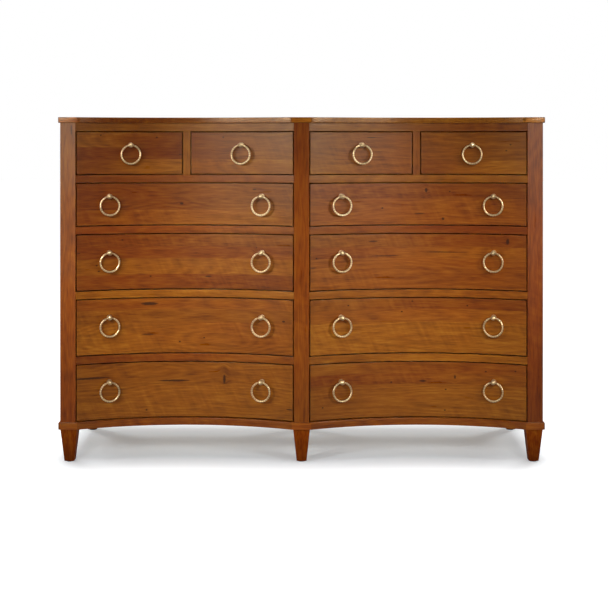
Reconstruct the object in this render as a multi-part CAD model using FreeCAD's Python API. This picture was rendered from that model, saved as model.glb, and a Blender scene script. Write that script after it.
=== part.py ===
"""Wide chest of drawers whose front sweeps back in two shallow concave bays between three flat posts.

Frame: millimetres, +Z up, the front faces -Y, +X to the viewer's right. The origin lies on the floor,
under the middle of the top. Every board, drawer, pull and ring is a solid of its own.
"""

import FreeCAD, Part

import math
import os

from FreeCAD import Vector

# Top board
top_width = 1626.0
top_depth = 520.0
top_thickness = 19.0
top_side_overhang = 6.0
top_front_overhang = 6.0
top_edge_round = 2.0

# Posts, and the sweep of the two bays between the front ones
post_width = 52.0
post_depth = 52.0
post_edge_round = 1.5
front_sweep = 74.0

# Boards of the case
side_thickness = 20.0
side_recess = 3.0
partition_thickness = 20.0
back_thickness = 8.0
back_recess = 4.0
bottom_thickness = 19.0

# Base frame, tapered feet and their glides
base_height = 24.5
base_proud = 6.0
base_back_rail_depth = 30.0
base_edge_round = 3.5
foot_height = 108.5
foot_top_size = 56.0
foot_bottom_size = 33.0
foot_inset = 0.5
glide_height = 3.0
glide_diameter = 27.0

# Openings and rails of the front
deep_opening = 191.5
middle_opening = 146.5
small_opening = 147.0
deep_row_count = 3
rail_height = 26.0
top_rail_height = 28.0
rail_depth = 40.0
divider_width = 25.0

# Runners, guides and stops behind the rails
runner_seat = 20.0
runner_clearance = 0.2
guide_height = 20.0
guide_clearance = 1.0
stop_height = 24.0

# Drawers
drawer_gap = 2.0
drawer_front_thickness = 22.0
drawer_side_thickness = 12.0
drawer_back_thickness = 12.0
drawer_bottom_thickness = 6.0
drawer_bottom_rise = 9.0
drawer_side_drop = 9.0
drawer_back_space = 20.0

# Ring pulls
ring_radius = 31.6
ring_wire_diameter = 5.2
ring_clearance = 0.5
ring_bore_flare = 1.25
ring_bore_overrun = 1.0
knob_diameter = 17.2
knob_reach = 18.0
neck_diameter = 8.0
rosette_diameter = 17.0
rosette_thickness = 2.5
rosette_seat_clearance = 0.05
pull_rise = 27.0
deep_pull_rise = 32.0
wide_pull_inset = 106.5
screw_diameter = 4.0
screw_head_diameter = 9.0
screw_head_thickness = 3.0
screw_grip = 8.0
screw_tip_clearance = 1.0
screw_hole_clearance = 0.25

# Planes and spans of the case
half_top = top_width / 2
half_case = half_top - top_side_overhang
front_y = top_front_overhang - top_depth / 2
back_y = top_depth / 2
post_back_y = front_y + post_depth
rear_post_y = back_y - post_depth
rail_back_y = front_y + front_sweep + rail_depth
back_panel_y = back_y - back_recess - back_thickness
drawer_back_y = back_panel_y - drawer_back_space
side_inner_x = half_case - side_recess - side_thickness
post_inner_x = half_case - post_width
half_partition = partition_thickness / 2
half_post = post_width / 2

# A bay runs from a side post to the centre post, and its front is an arc through their front corners
bay_half = (post_inner_x - half_post) / 2
bay_centre = half_post + bay_half
sweep_radius = (bay_half ** 2 + front_sweep ** 2) / (2 * front_sweep)
sweep_centre_y = front_y + front_sweep - sweep_radius

# Heights, from the floor up
base_z = glide_height + foot_height
base_top_z = base_z + base_height
row_heights = [deep_opening] * deep_row_count + [middle_opening, small_opening]
row_count = len(row_heights)
small_row = row_count - 1
row_floors = [base_top_z + sum(row_heights[:row]) + row * rail_height for row in range(row_count)]
top_rail_z = row_floors[small_row] + small_opening
case_top_z = top_rail_z + top_rail_height

SIDES = {"left": -1, "right": 1}


def box(x0, x1, y0, y1, z0, z1):
    """Rectangular board between two corners, with x0 and x1 in either order."""
    return Part.makeBox(abs(x1 - x0), y1 - y0, z1 - z0, Vector(min(x0, x1), y0, z0))


def line(start, end):
    """Straight edge between two plan points."""
    return Part.LineSegment(Vector(*start, 0), Vector(*end, 0)).toShape()


def arc(start, middle, end):
    """Round edge through three plan points."""
    return Part.Arc(Vector(*start, 0), Vector(*middle, 0), Vector(*end, 0)).toShape()


def closed_face(edges):
    """Flat face inside a closed outline of edges."""
    return Part.Face(Part.Wire(Part.__sortEdges__(edges)))


def prism(edges, z0, z1):
    """Upright solid on a closed plan outline."""
    solid = closed_face(edges).extrude(Vector(0, 0, z1 - z0))
    solid.translate(Vector(0, 0, z0))
    return solid


def sweep_point(bay_x, offset, x):
    """Plan point at x on a bay's front arc, moved back by offset."""
    return x, sweep_centre_y + math.sqrt((sweep_radius + offset) ** 2 - (x - bay_x) ** 2)


def sweep_edge(bay_x, offset, x0, x1):
    """Edge along a bay's front arc, moved back by offset, from x0 to x1."""
    return arc(*(sweep_point(bay_x, offset, x) for x in (x0, (x0 + x1) / 2, x1)))


def swept_board(bay_x, x0, x1, z0, z1):
    """Board with the bay's arc in front and a straight back, such as a rail between two drawers."""
    near = [sweep_point(bay_x, 0, x) for x in (x0, x1)]
    edges = [
        sweep_edge(bay_x, 0, x0, x1),
        line(near[1], (x1, rail_back_y)),
        line((x1, rail_back_y), (x0, rail_back_y)),
        line((x0, rail_back_y), near[0]),
    ]
    return prism(edges, z0, z1)


def curved_front(bay_x, x0, x1, z0, z1):
    """Drawer front of even thickness that follows the bay's arc."""
    thick = drawer_front_thickness
    near = [sweep_point(bay_x, 0, x) for x in (x0, x1)]
    far = [sweep_point(bay_x, thick, x) for x in (x0, x1)]
    edges = [
        sweep_edge(bay_x, 0, x0, x1),
        line(near[1], far[1]),
        sweep_edge(bay_x, thick, x1, x0),
        line(far[0], near[0]),
    ]
    return prism(edges, z0, z1)


def serpentine_board(proud, half_width, far_y, z0, z1):
    """Board across both bays that stands proud of the front: flat before each post, swept between them."""
    flat_y = front_y - proud
    reach = bay_half - proud
    edges = [line((-half_width, far_y), (-half_width, flat_y))]
    flat_from = -half_width
    for bay_x in (-bay_centre, bay_centre):
        edges.append(line((flat_from, flat_y), (bay_x - reach, flat_y)))
        flat_from = bay_x + reach
        edges.append(arc((bay_x - reach, flat_y), (bay_x, flat_y + front_sweep), (flat_from, flat_y)))
    edges.append(line((flat_from, flat_y), (half_width, flat_y)))
    edges.append(line((half_width, flat_y), (half_width, far_y)))
    edges.append(line((half_width, far_y), (-half_width, far_y)))
    return prism(edges, z0, z1)


def level_edges(solid, z, far_y):
    """Edges that lie level at height z, apart from the one along the back at far_y."""
    tolerance = 1e-6
    found = []
    for edge in solid.Edges:
        bounds = edge.BoundBox
        level = abs(bounds.ZMin - z) < tolerance and abs(bounds.ZMax - z) < tolerance
        if level and abs(bounds.YMin - far_y) > tolerance:
            found.append(edge)
    return found


def upright_edges(solid, far_y):
    """Edges that run straight up, apart from those along the back at far_y."""
    tolerance = 1e-6
    found = []
    for edge in solid.Edges:
        bounds = edge.BoundBox
        upright = bounds.XLength < tolerance and bounds.YLength < tolerance
        if upright and bounds.YMax < far_y - tolerance:
            found.append(edge)
    return found


def top_panel():
    """Top with its serpentine front and eased edges."""
    top_z = case_top_z + top_thickness
    solid = serpentine_board(top_front_overhang, half_top, back_y, case_top_z, top_z)
    eased = level_edges(solid, case_top_z, back_y) + level_edges(solid, top_z, back_y)
    return solid.makeFillet(top_edge_round, eased)


def front_post(x):
    """Flat-faced front post from the base frame to the top, with eased front corners."""
    solid = box(x - half_post, x + half_post, front_y, post_back_y, base_top_z, case_top_z)
    return solid.makeFillet(post_edge_round, upright_edges(solid, post_back_y))


def rear_post(sign):
    """Square post at a back corner."""
    return box(sign * post_inner_x, sign * half_case, rear_post_y, back_y, base_top_z, case_top_z)


def side_panel(sign):
    """Side board between two posts, set back a little from their outer faces."""
    outer = sign * (half_case - side_recess)
    return box(sign * side_inner_x, outer, post_back_y, rear_post_y, base_top_z, case_top_z)


def centre_partition():
    """Upright board between the two bays."""
    return box(-half_partition, half_partition, post_back_y, back_panel_y, base_top_z, case_top_z)


def back_panel():
    """Thin board that closes the back between the rear posts."""
    far_y = back_panel_y + back_thickness
    return box(-post_inner_x, post_inner_x, back_panel_y, far_y, base_top_z, case_top_z)


def bottom_panel():
    """Board under the lowest drawers, let in between the rails of the base frame."""
    far_y = back_y - base_back_rail_depth
    return box(-side_inner_x, side_inner_x, rail_back_y, far_y, base_top_z - bottom_thickness, base_top_z)


def base_frame():
    """Moulded frame under the case: a serpentine front rail, two side rails and a back rail."""
    half_base = half_case + base_proud
    front = serpentine_board(base_proud, half_base, rail_back_y, base_z, base_top_z)
    front = front.makeFillet(base_edge_round, level_edges(front, base_top_z, rail_back_y))
    rails = [front]
    for sign in SIDES.values():
        rail = box(sign * side_inner_x, sign * half_base, rail_back_y, back_y, base_z, base_top_z)
        outer = [e for e in level_edges(rail, base_top_z, back_y) if abs(e.CenterOfMass.x) > half_case]
        rails.append(rail.makeFillet(base_edge_round, outer))
    far_y = back_y - base_back_rail_depth
    rails.append(box(-side_inner_x, side_inner_x, far_y, back_y, base_z, base_top_z))
    return rails


def foot_places():
    """Middles of the six feet: three under the front posts and three along the back."""
    half_foot = foot_top_size / 2
    outer_x = half_case - foot_inset - half_foot
    rows = (front_y + foot_inset + half_foot, back_y - foot_inset - half_foot)
    return [(x, y) for y in rows for x in (-outer_x, 0.0, outer_x)]


def tapered_foot(x, y):
    """Square foot that tapers towards its glide on all four sides."""
    outlines = []
    for size, z in ((foot_bottom_size, glide_height), (foot_top_size, base_z)):
        half = size / 2
        corners = [Vector(x + sx * half, y + sy * half, z) for sx, sy in ((-1, -1), (1, -1), (1, 1), (-1, 1))]
        outlines.append(Part.makePolygon(corners + corners[:1]))
    return Part.makeLoft(outlines, True, True)


def floor_glide(x, y):
    """Round pad under a foot."""
    return Part.makeCylinder(glide_diameter / 2, glide_height, Vector(x, y, 0))


def rail_span(row):
    """Lowest and highest z of the rail over a row of drawers."""
    z0 = row_floors[row] + row_heights[row]
    return z0, z0 + (top_rail_height if row == small_row else rail_height)


def drawer_rails():
    """Swept rails of both bays: one over each row of drawers, the highest under the top."""
    rails = []
    for bay_x in (-bay_centre, bay_centre):
        for row in range(row_count):
            rails.append(swept_board(bay_x, bay_x - bay_half, bay_x + bay_half, *rail_span(row)))
    return rails


def small_drawer_dividers():
    """Short uprights between the paired drawers of the top row."""
    half = divider_width / 2
    middles = [sign * bay_centre for sign in SIDES.values()]
    return [swept_board(x, x - half, x + half, row_floors[small_row], top_rail_z) for x in middles]


def bay_walls(sign):
    """Walls that hold a bay's runners, as (wall x, opening edge x, way into the opening, back end y)."""
    outer = (sign * side_inner_x, sign * post_inner_x, -sign, rear_post_y)
    inner = (sign * half_partition, sign * half_post, sign, back_panel_y)
    return outer, inner


def runner_strips(sign):
    """Strips of one bay that run back from its rails: they carry the drawers above them."""
    bay_x = sign * bay_centre
    half_middle = divider_width / 2 + runner_seat
    strips = []
    for row in range(row_count):
        z0, z1 = rail_span(row)
        for wall, edge, inward, far_y in bay_walls(sign):
            strips.append(box(wall, edge + inward * runner_seat, rail_back_y, far_y, z0, z1))
        if row >= small_row - 1:
            strips.append(box(bay_x - half_middle, bay_x + half_middle, rail_back_y, back_panel_y, z0, z1))
    return strips


def guide_strips(sign):
    """Strips of one bay that stand beside the drawers and keep them straight."""
    bay_x = sign * bay_centre
    reach = drawer_gap - guide_clearance
    half_middle = divider_width / 2 + reach
    strips = []
    for z0 in row_floors:
        for wall, edge, inward, far_y in bay_walls(sign):
            strips.append(box(wall, edge + inward * reach, post_back_y, far_y, z0, z0 + guide_height))
    z0 = row_floors[small_row]
    z1 = z0 + guide_height
    strips.append(box(bay_x - half_middle, bay_x + half_middle, rail_back_y, back_panel_y, z0, z1))
    return strips


def drawer_stops():
    """Blocks on the back panel that each closed drawer's sides meet."""
    blocks = []
    for name, bay_x, x0, x1, floor, height, rise, offsets in drawer_layout():
        z0 = floor + runner_clearance
        for side_x in (x0, x1 - drawer_side_thickness):
            far_x = side_x + drawer_side_thickness
            blocks.append(box(side_x, far_x, drawer_back_y, back_panel_y, z0, z0 + stop_height))
    return blocks


def drawer_runners():
    """Everything behind the rails that carries, guides and stops the drawers."""
    strips = []
    for sign in SIDES.values():
        strips += runner_strips(sign) + guide_strips(sign)
    return strips + drawer_stops()


def pull_frame(bay_x, dx, z):
    """Seat of a pull on the front's face: the point, the outward normal and the level tangent."""
    seat = Vector(*sweep_point(bay_x, 0, bay_x + dx), z)
    normal = Vector(-dx, sweep_centre_y - seat.y, 0)
    normal.normalize()
    return seat, normal, Vector(0, 0, 1).cross(normal)


def turned(profile, seat, axis):
    """Solid turned about a level axis through seat, from a closed profile in (radius, height) coordinates.

    The profile stands upright over the axis, so the seam of the round faces lies clear of the ring's hole.
    """
    upright = Vector(0, 0, 1)
    solid = closed_face(profile).revolve(Vector(0, 0, 0), Vector(0, 1, 0), 360)
    turn = FreeCAD.Rotation(upright, axis, upright.cross(axis), "YXZ")
    solid.Placement = FreeCAD.Placement(seat, turn)
    return solid


def ring_bore_tool(centre, tangent):
    """Hole for the ring: a round throat that flares to both mouths, so that the curved ring turns freely."""
    throat = ring_wire_diameter / 2 + ring_clearance
    mouth = throat + ring_bore_flare
    half_length = knob_diameter / 2 + ring_bore_overrun
    half_throat = knob_diameter / 4
    corners = [
        (0, -half_length),
        (mouth, -half_length),
        (throat, -half_throat),
        (throat, half_throat),
        (mouth, half_length),
        (0, half_length),
    ]
    return turned([line(a, b) for a, b in zip(corners, corners[1:] + corners[:1])], centre, tangent)


def pull_post(seat, normal, tangent):
    """Turned post: a rosette, a neck and a ball, bored across for the ring and tapped for its screw."""
    ball = knob_diameter / 2
    neck = neck_diameter / 2
    rosette = rosette_diameter / 2
    foot = rosette_seat_clearance
    shoulder = foot + rosette_thickness
    ball_start = knob_reach - math.sqrt(ball ** 2 - neck ** 2)
    ball_end = knob_reach + ball
    profile = [
        line((0, foot), (rosette, foot)),
        line((rosette, foot), (rosette, shoulder)),
        line((rosette, shoulder), (neck, shoulder)),
        line((neck, shoulder), (neck, ball_start)),
        arc((neck, ball_start), (ball, knob_reach), (0, ball_end)),
        line((0, ball_end), (0, foot)),
    ]
    post = turned(profile, seat, normal).cut(ring_bore_tool(seat + normal * knob_reach, tangent))
    tapped = screw_diameter / 2 + screw_hole_clearance
    return post.cut(Part.makeCylinder(tapped, screw_grip + screw_tip_clearance, seat, normal))


def pull_screw(seat, normal):
    """Screw that holds a post, with its head inside the drawer."""
    head_depth = drawer_front_thickness + rosette_seat_clearance
    head_seat = seat - normal * head_depth
    head = Part.makeCylinder(screw_head_diameter / 2, screw_head_thickness, head_seat, normal * -1)
    shank = Part.makeCylinder(screw_diameter / 2, head_depth + screw_grip, head_seat, normal)
    return head.fuse(shank).removeSplitter()


def screw_hole_tool(seat, normal):
    """Clearance hole through a drawer front for a pull's screw."""
    start = seat + normal * drawer_front_thickness
    radius = screw_diameter / 2 + screw_hole_clearance
    return Part.makeCylinder(radius, drawer_front_thickness * 3, start, normal * -1)


def pull_ring(seat, normal):
    """Ring that hangs from the ball of a post."""
    centre = seat + normal * knob_reach - Vector(0, 0, ring_radius)
    return Part.makeTorus(ring_radius, ring_wire_diameter / 2, centre, normal)


def drawer_boards(bay_x, x0, x1, floor, height, pulls):
    """Boards of one drawer: the swept front, two sides, the bottom and the back."""
    front = curved_front(bay_x, x0, x1, floor + drawer_gap, floor + height - drawer_gap)
    for seat, normal, tangent in pulls:
        front = front.cut(screw_hole_tool(seat, normal))
    z0 = floor + runner_clearance
    z1 = floor + height - drawer_side_drop
    bottom_z = z0 + drawer_bottom_rise
    back_z = bottom_z + drawer_bottom_thickness
    inner0, inner1 = x0 + drawer_side_thickness, x1 - drawer_side_thickness
    boards = [
        box(x0, inner0, front_y, drawer_back_y, z0, z1),
        box(inner1, x1, front_y, drawer_back_y, z0, z1),
        box(inner0, inner1, front_y, drawer_back_y, bottom_z, back_z),
    ]
    behind_front = sweep_radius + drawer_front_thickness
    hollow = Part.makeCylinder(behind_front, height, Vector(bay_x, sweep_centre_y, floor))
    boards = [board.cut(hollow) for board in boards]
    boards.append(box(inner0, inner1, drawer_back_y - drawer_back_thickness, drawer_back_y, back_z, z1))
    return [front] + boards


def small_drawer_layout():
    """The four drawers of the top row, from left to right, with one pull each in the middle."""
    half_divider = divider_width / 2
    layout = []
    for sign in SIDES.values():
        bay_x = sign * bay_centre
        for half_sign in SIDES.values():
            near = bay_x + half_sign * (half_divider + drawer_gap)
            far = bay_x + half_sign * (bay_half - drawer_gap)
            name = f"small_drawer_{len(layout) + 1}"
            offsets = [half_sign * (half_divider + bay_half) / 2]
            ends = sorted((near, far))
            layout.append((name, bay_x, *ends, row_floors[small_row], small_opening, pull_rise, offsets))
    return layout


def wide_drawer_layout():
    """The drawers that fill a bay, from the second row down, with two pulls each."""
    layout = []
    reach = bay_half - wide_pull_inset
    half_width = bay_half - drawer_gap
    for row in range(small_row - 1, -1, -1):
        for side, sign in SIDES.items():
            bay_x = sign * bay_centre
            name = f"row_{row_count - row}_{side}_drawer"
            ends = (bay_x - half_width, bay_x + half_width)
            rise = deep_pull_rise if row < deep_row_count else pull_rise
            layout.append((name, bay_x, *ends, row_floors[row], row_heights[row], rise, [-reach, reach]))
    return layout


def drawer_layout():
    """Every drawer as (name, bay middle, left end, right end, floor, height, pull rise, pull offsets)."""
    return small_drawer_layout() + wide_drawer_layout()


def drawer_nodes():
    """Nodes of every drawer: its boards, its posts and screws, and each ring by itself."""
    nodes = {}
    for name, bay_x, x0, x1, floor, height, rise, offsets in drawer_layout():
        pulls = [pull_frame(bay_x, dx, floor + height / 2 + rise) for dx in offsets]
        nodes[f"{name}_box"] = drawer_boards(bay_x, x0, x1, floor, height, pulls)
        posts = []
        for number, (seat, normal, tangent) in enumerate(pulls, 1):
            posts += [pull_post(seat, normal, tangent), pull_screw(seat, normal)]
            nodes[f"{name}_ring_{number}"] = [pull_ring(seat, normal)]
        nodes[f"{name}_pull_posts"] = posts
    return nodes


def case_nodes():
    """Nodes of the case that stays still."""
    side_post_x = half_case - half_post
    return {
        "top_panel": [top_panel()],
        "left_front_post": [front_post(-side_post_x)],
        "centre_front_post": [front_post(0.0)],
        "right_front_post": [front_post(side_post_x)],
        "rear_posts": [rear_post(sign) for sign in SIDES.values()],
        "left_side_panel": [side_panel(SIDES["left"])],
        "right_side_panel": [side_panel(SIDES["right"])],
        "centre_partition": [centre_partition()],
        "back_panel": [back_panel()],
        "bottom_panel": [bottom_panel()],
        "base_frame": base_frame(),
        "tapered_feet": [tapered_foot(x, y) for x, y in foot_places()],
        "floor_glides": [floor_glide(x, y) for x, y in foot_places()],
        "drawer_rails": drawer_rails(),
        "small_drawer_dividers": small_drawer_dividers(),
        "drawer_runners": drawer_runners(),
    }


os.makedirs("parts", exist_ok=True)
for node, solids in {**case_nodes(), **drawer_nodes()}.items():
    Part.makeCompound(solids).exportStep(f"parts/{node}.step")
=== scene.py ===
"""Looks of a wide chest of drawers with two concave bays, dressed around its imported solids.

Lengths are in metres. +Z is up, the front faces -Y and +X is to the viewer's right, as in the solids.
"""

import logging
import math
import random
from dataclasses import dataclass, field, replace
from enum import Enum
from itertools import product
from typing import Any, Callable, Iterator, Optional, Sequence, Union

import bmesh
import bpy
import numpy as np
from bmesh.types import BMEdge, BMesh, BMFace, BMVert
from bpy.types import Material, Mesh, Node, NodeSocket, NodeTree, Object
from mathutils import Matrix, Vector


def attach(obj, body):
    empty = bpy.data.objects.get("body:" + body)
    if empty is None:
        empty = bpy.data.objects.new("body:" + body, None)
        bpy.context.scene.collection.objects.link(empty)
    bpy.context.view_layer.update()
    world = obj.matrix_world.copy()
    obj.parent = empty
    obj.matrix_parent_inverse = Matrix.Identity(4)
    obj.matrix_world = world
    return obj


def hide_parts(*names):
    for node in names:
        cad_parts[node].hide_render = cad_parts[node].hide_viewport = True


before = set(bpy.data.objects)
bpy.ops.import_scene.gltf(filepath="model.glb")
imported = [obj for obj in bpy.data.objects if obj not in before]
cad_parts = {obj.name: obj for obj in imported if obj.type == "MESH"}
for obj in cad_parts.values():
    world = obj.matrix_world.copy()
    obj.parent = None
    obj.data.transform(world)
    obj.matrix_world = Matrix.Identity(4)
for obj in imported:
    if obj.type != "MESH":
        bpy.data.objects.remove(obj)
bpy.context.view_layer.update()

log = logging.getLogger("dresser")

Colour = tuple[float, float, float, float]
Place = tuple[float, float, float]
Share = Union[float, np.ndarray]
Value = Union[float, Sequence[float], NodeSocket]
Wanted = Callable[[BMEdge], bool]
Parts = list[Union[BMVert, BMEdge, BMFace]]

X, Y, Z = range(3)
UP = Vector((0, 0, 1))

# Edges over SHARP_ANGLE stay hard, and edges over CORNER_ANGLE are corners to round.
SHARP_ANGLE = math.radians(50)
CORNER_ANGLE = math.radians(25)
ROUND_PROFILE = 0.5

# Points within TOUCH are one point, an edge within NEAR of a plane lies on it, and an edge longer than
# LONG_EDGE runs along a board.
TOUCH = 1e-6
NEAR = 1e-4
LONG_EDGE = 0.1

# Places of the boards in a tree, and the share of a face over which a board drifts to its far colour lot.
TREE_SPAN = (2.0, 40.0)
DRIFT_SHARE = 0.85

# Each board has room for so many knots, and a knot that it lacks lies far off.
KNOTS_PER_BOARD = 3
NO_KNOT = (-1000.0, -1000.0, 1.0, 1.0)

# A ring turns from dark to pale over half its width, and noise varies about its mean.
HALF_RING = 0.5
NOISE_MEAN = 0.5

# How far a face looks to the front, as the y of its normal, for the painted shade on edge faces along the
# gaps and the painted light on the foremost flat faces, and how deep those flat faces reach.
EDGE_FACING = -0.6
PAINTED_SHADE_FRONT_FACING = -0.1
FLAT_FACING = -0.999
FLAT_DEPTH = 0.001

# Curve of the screen colours that a paint chart gives.
CHART_WHITE = 255
CHART_FOOT = 0.055
CHART_POWER = 2.4


def paint(red: int, green: int, blue: int) -> Colour:
    """Linear colour for the 0 to 255 numbers of a paint chart."""
    shares = [value / CHART_WHITE for value in (red, green, blue)]
    return (*(((share + CHART_FOOT) / (1 + CHART_FOOT)) ** CHART_POWER for share in shares), 1.0)


def smooth(share: Share) -> Share:
    """Smooth step of a share from 0 to 1, for one number or an array of them."""
    return share * share * (3 - 2 * share)


class Timber(Enum):
    """Colour lots of the show boards, as redness, lightness and strength of figure."""

    STRAW = (0.15, 1.20, 0.9)
    HONEY = (0.25, 1.10, 1.0)
    GOLDEN = (0.35, 1.02, 1.0)
    TAWNY = (0.42, 0.92, 1.0)
    AMBER = (0.50, 1.05, 1.0)
    ROSE = (0.60, 1.06, 0.8)
    RUSSET = (0.68, 0.96, 0.9)
    CHESTNUT = (0.78, 0.84, 0.8)
    UMBER = (0.90, 0.74, 0.7)
    FLAME = (0.92, 1.16, 0.7)
    BRICK = (1.00, 0.86, 0.7)


@dataclass(frozen=True)
class Knot:
    """Small knot or pitch streak in a face.

    across and down are shares of the face, from its left and from its top.
    """

    across: float
    down: float
    length: float = 0.006
    height: float = 0.0045


@dataclass(frozen=True)
class Board:
    """One board of a glued-up face.

    share is its part of the face, far its colour lot at the right or upper end where that differs, heart the
    depth of the tree's heart behind the face, and aside how far the heart lies from the board's middle.
    """

    timber: Timber = Timber.GOLDEN
    share: float = 1.0
    far: Optional[Timber] = None
    heart: float = 0.075
    aside: float = 0.0
    knots: tuple[Knot, ...] = ()


class Fibres(Enum):
    """Axes of a straight board: along the fibres, across the face and through the thickness."""

    LEVEL_FACE = (X, Z, Y)
    LEVEL_TOP = (X, Y, Z)
    UPRIGHT_FACE = (Z, X, Y)
    UPRIGHT_SIDE = (Z, Y, X)
    BACKWARD_SIDE = (Y, Z, X)

    def unroll(self, points: np.ndarray) -> np.ndarray:
        """Coordinates of points along the fibres, across the face and through the board."""
        return points[:, self.value]


@dataclass(frozen=True)
class Sweep:
    """Arc of a bay's front in plan, whose centre lies before the case."""

    middle_x: float
    radius: float
    centre_y: float

    def angle(self, x: float) -> float:
        """Angle of the arc's point at x, from straight back towards the right."""
        return math.asin((x - self.middle_x) / self.radius)

    def point(self, angle: float, offset: float, z: float) -> Vector:
        """Point at an angle on the arc, moved back by offset, at height z."""
        reach = self.radius + offset
        return Vector((self.middle_x + reach * math.sin(angle), self.centre_y + reach * math.cos(angle), z))

    def point_at(self, x: float, offset: float, z: float) -> Vector:
        """Point at x on the arc that lies offset behind the front."""
        reach = self.radius + offset
        return Vector((x, self.centre_y + math.sqrt(reach ** 2 - (x - self.middle_x) ** 2), z))

    def normal(self, x: float) -> Vector:
        """Unit vector that points out of the front at x."""
        angle = self.angle(x)
        return Vector((-math.sin(angle), -math.cos(angle), 0.0))

    def unroll(self, points: np.ndarray) -> np.ndarray:
        """Lays the arc out flat.

        Args:
            points: places in the case, one in a row.

        Returns:
            Their coordinates along the arc, up the face and behind the front.
        """
        aside = points[:, X] - self.middle_x
        behind = points[:, Y] - self.centre_y
        along = self.radius * np.arctan2(aside, behind)
        return np.column_stack((along, points[:, Z], np.hypot(aside, behind) - self.radius))


@dataclass(frozen=True)
class CaseSizes:
    """Main sizes of the case, the same as the solids have, and the gap round a drawer front."""

    half_top: float = 0.813
    half_case: float = 0.807
    front_y: float = -0.254
    back_y: float = 0.260
    post: float = 0.052
    sweep: float = 0.074
    rail_back_y: float = -0.140
    back_panel_y: float = 0.248
    base_z: float = 0.1115
    base_top_z: float = 0.136
    case_top_z: float = 1.136
    top_z: float = 1.155
    rail: float = 0.026
    back_rail: float = 0.030
    divider: float = 0.025
    gap: float = 0.003
    rows: tuple[float, ...] = (0.1915, 0.1915, 0.1915, 0.1465, 0.147)

    @property
    def top_row(self) -> int:
        """Number of the highest row, counted from 0 at the lowest."""
        return len(self.rows) - 1

    @property
    def post_inner_x(self) -> float:
        """Inner face of a side post."""
        return self.half_case - self.post

    @property
    def bay_half(self) -> float:
        """Half the width of a bay."""
        return (self.post_inner_x - self.post / 2) / 2

    @property
    def bay_centre(self) -> float:
        """Distance of a bay's middle from the middle of the case."""
        return self.post / 2 + self.bay_half

    def bay(self, sign: int) -> Sweep:
        """Arc of the left (-1) or right (1) bay's front."""
        radius = (self.bay_half ** 2 + self.sweep ** 2) / (2 * self.sweep)
        return Sweep(sign * self.bay_centre, radius, self.front_y + self.sweep - radius)

    def row_floor(self, row: int) -> float:
        """Height of the opening of a row, counted from 0 at the lowest."""
        return self.base_top_z + sum(self.rows[:row]) + row * self.rail

    def row_top(self, row: int) -> float:
        """Height of the top of a row's opening."""
        return self.row_floor(row) + self.rows[row]


SIZES = CaseSizes()
SIDES = {"left": -1, "right": 1}


@dataclass(frozen=True)
class Serpentine:
    """Front line of a board across both bays: flat before each post, swept back between them."""

    proud: float

    @property
    def flat_y(self) -> float:
        """Where the line runs before the posts."""
        return SIZES.front_y - self.proud

    @property
    def reach(self) -> float:
        """Half the width of its sweep in one bay."""
        return SIZES.bay_half - self.proud

    @property
    def radius(self) -> float:
        """Radius of its sweep."""
        return (self.reach ** 2 + SIZES.sweep ** 2) / (2 * SIZES.sweep)

    @property
    def centre_y(self) -> float:
        """Centre of its sweep, before the case."""
        return self.flat_y + SIZES.sweep - self.radius

    def unroll(self, points: np.ndarray) -> np.ndarray:
        """Measures points from the line.

        Args:
            points: places in the case, one in a row.

        Returns:
            Their coordinates along the front, up the face and behind the line.
        """
        aside = np.minimum(np.abs(np.abs(points[:, X]) - SIZES.bay_centre), self.reach)
        line = self.centre_y + np.sqrt(self.radius ** 2 - aside ** 2)
        return np.column_stack((points[:, X], points[:, Z], points[:, Y] - line))


Lay = Union[Fibres, Sweep, Serpentine]


@dataclass(frozen=True)
class Pattern:
    """Noise in a finish: its repeats in a metre along each axis, its detail and its weight."""

    stretch: tuple[float, float, float]
    detail: float = 2.0
    weight: float = 1.0

    @classmethod
    def even(cls, repeats: float, detail: float, weight: float = 1.0) -> "Pattern":
        """Pattern that is alike along every axis."""
        return cls((repeats,) * 3, detail, weight)


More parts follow.
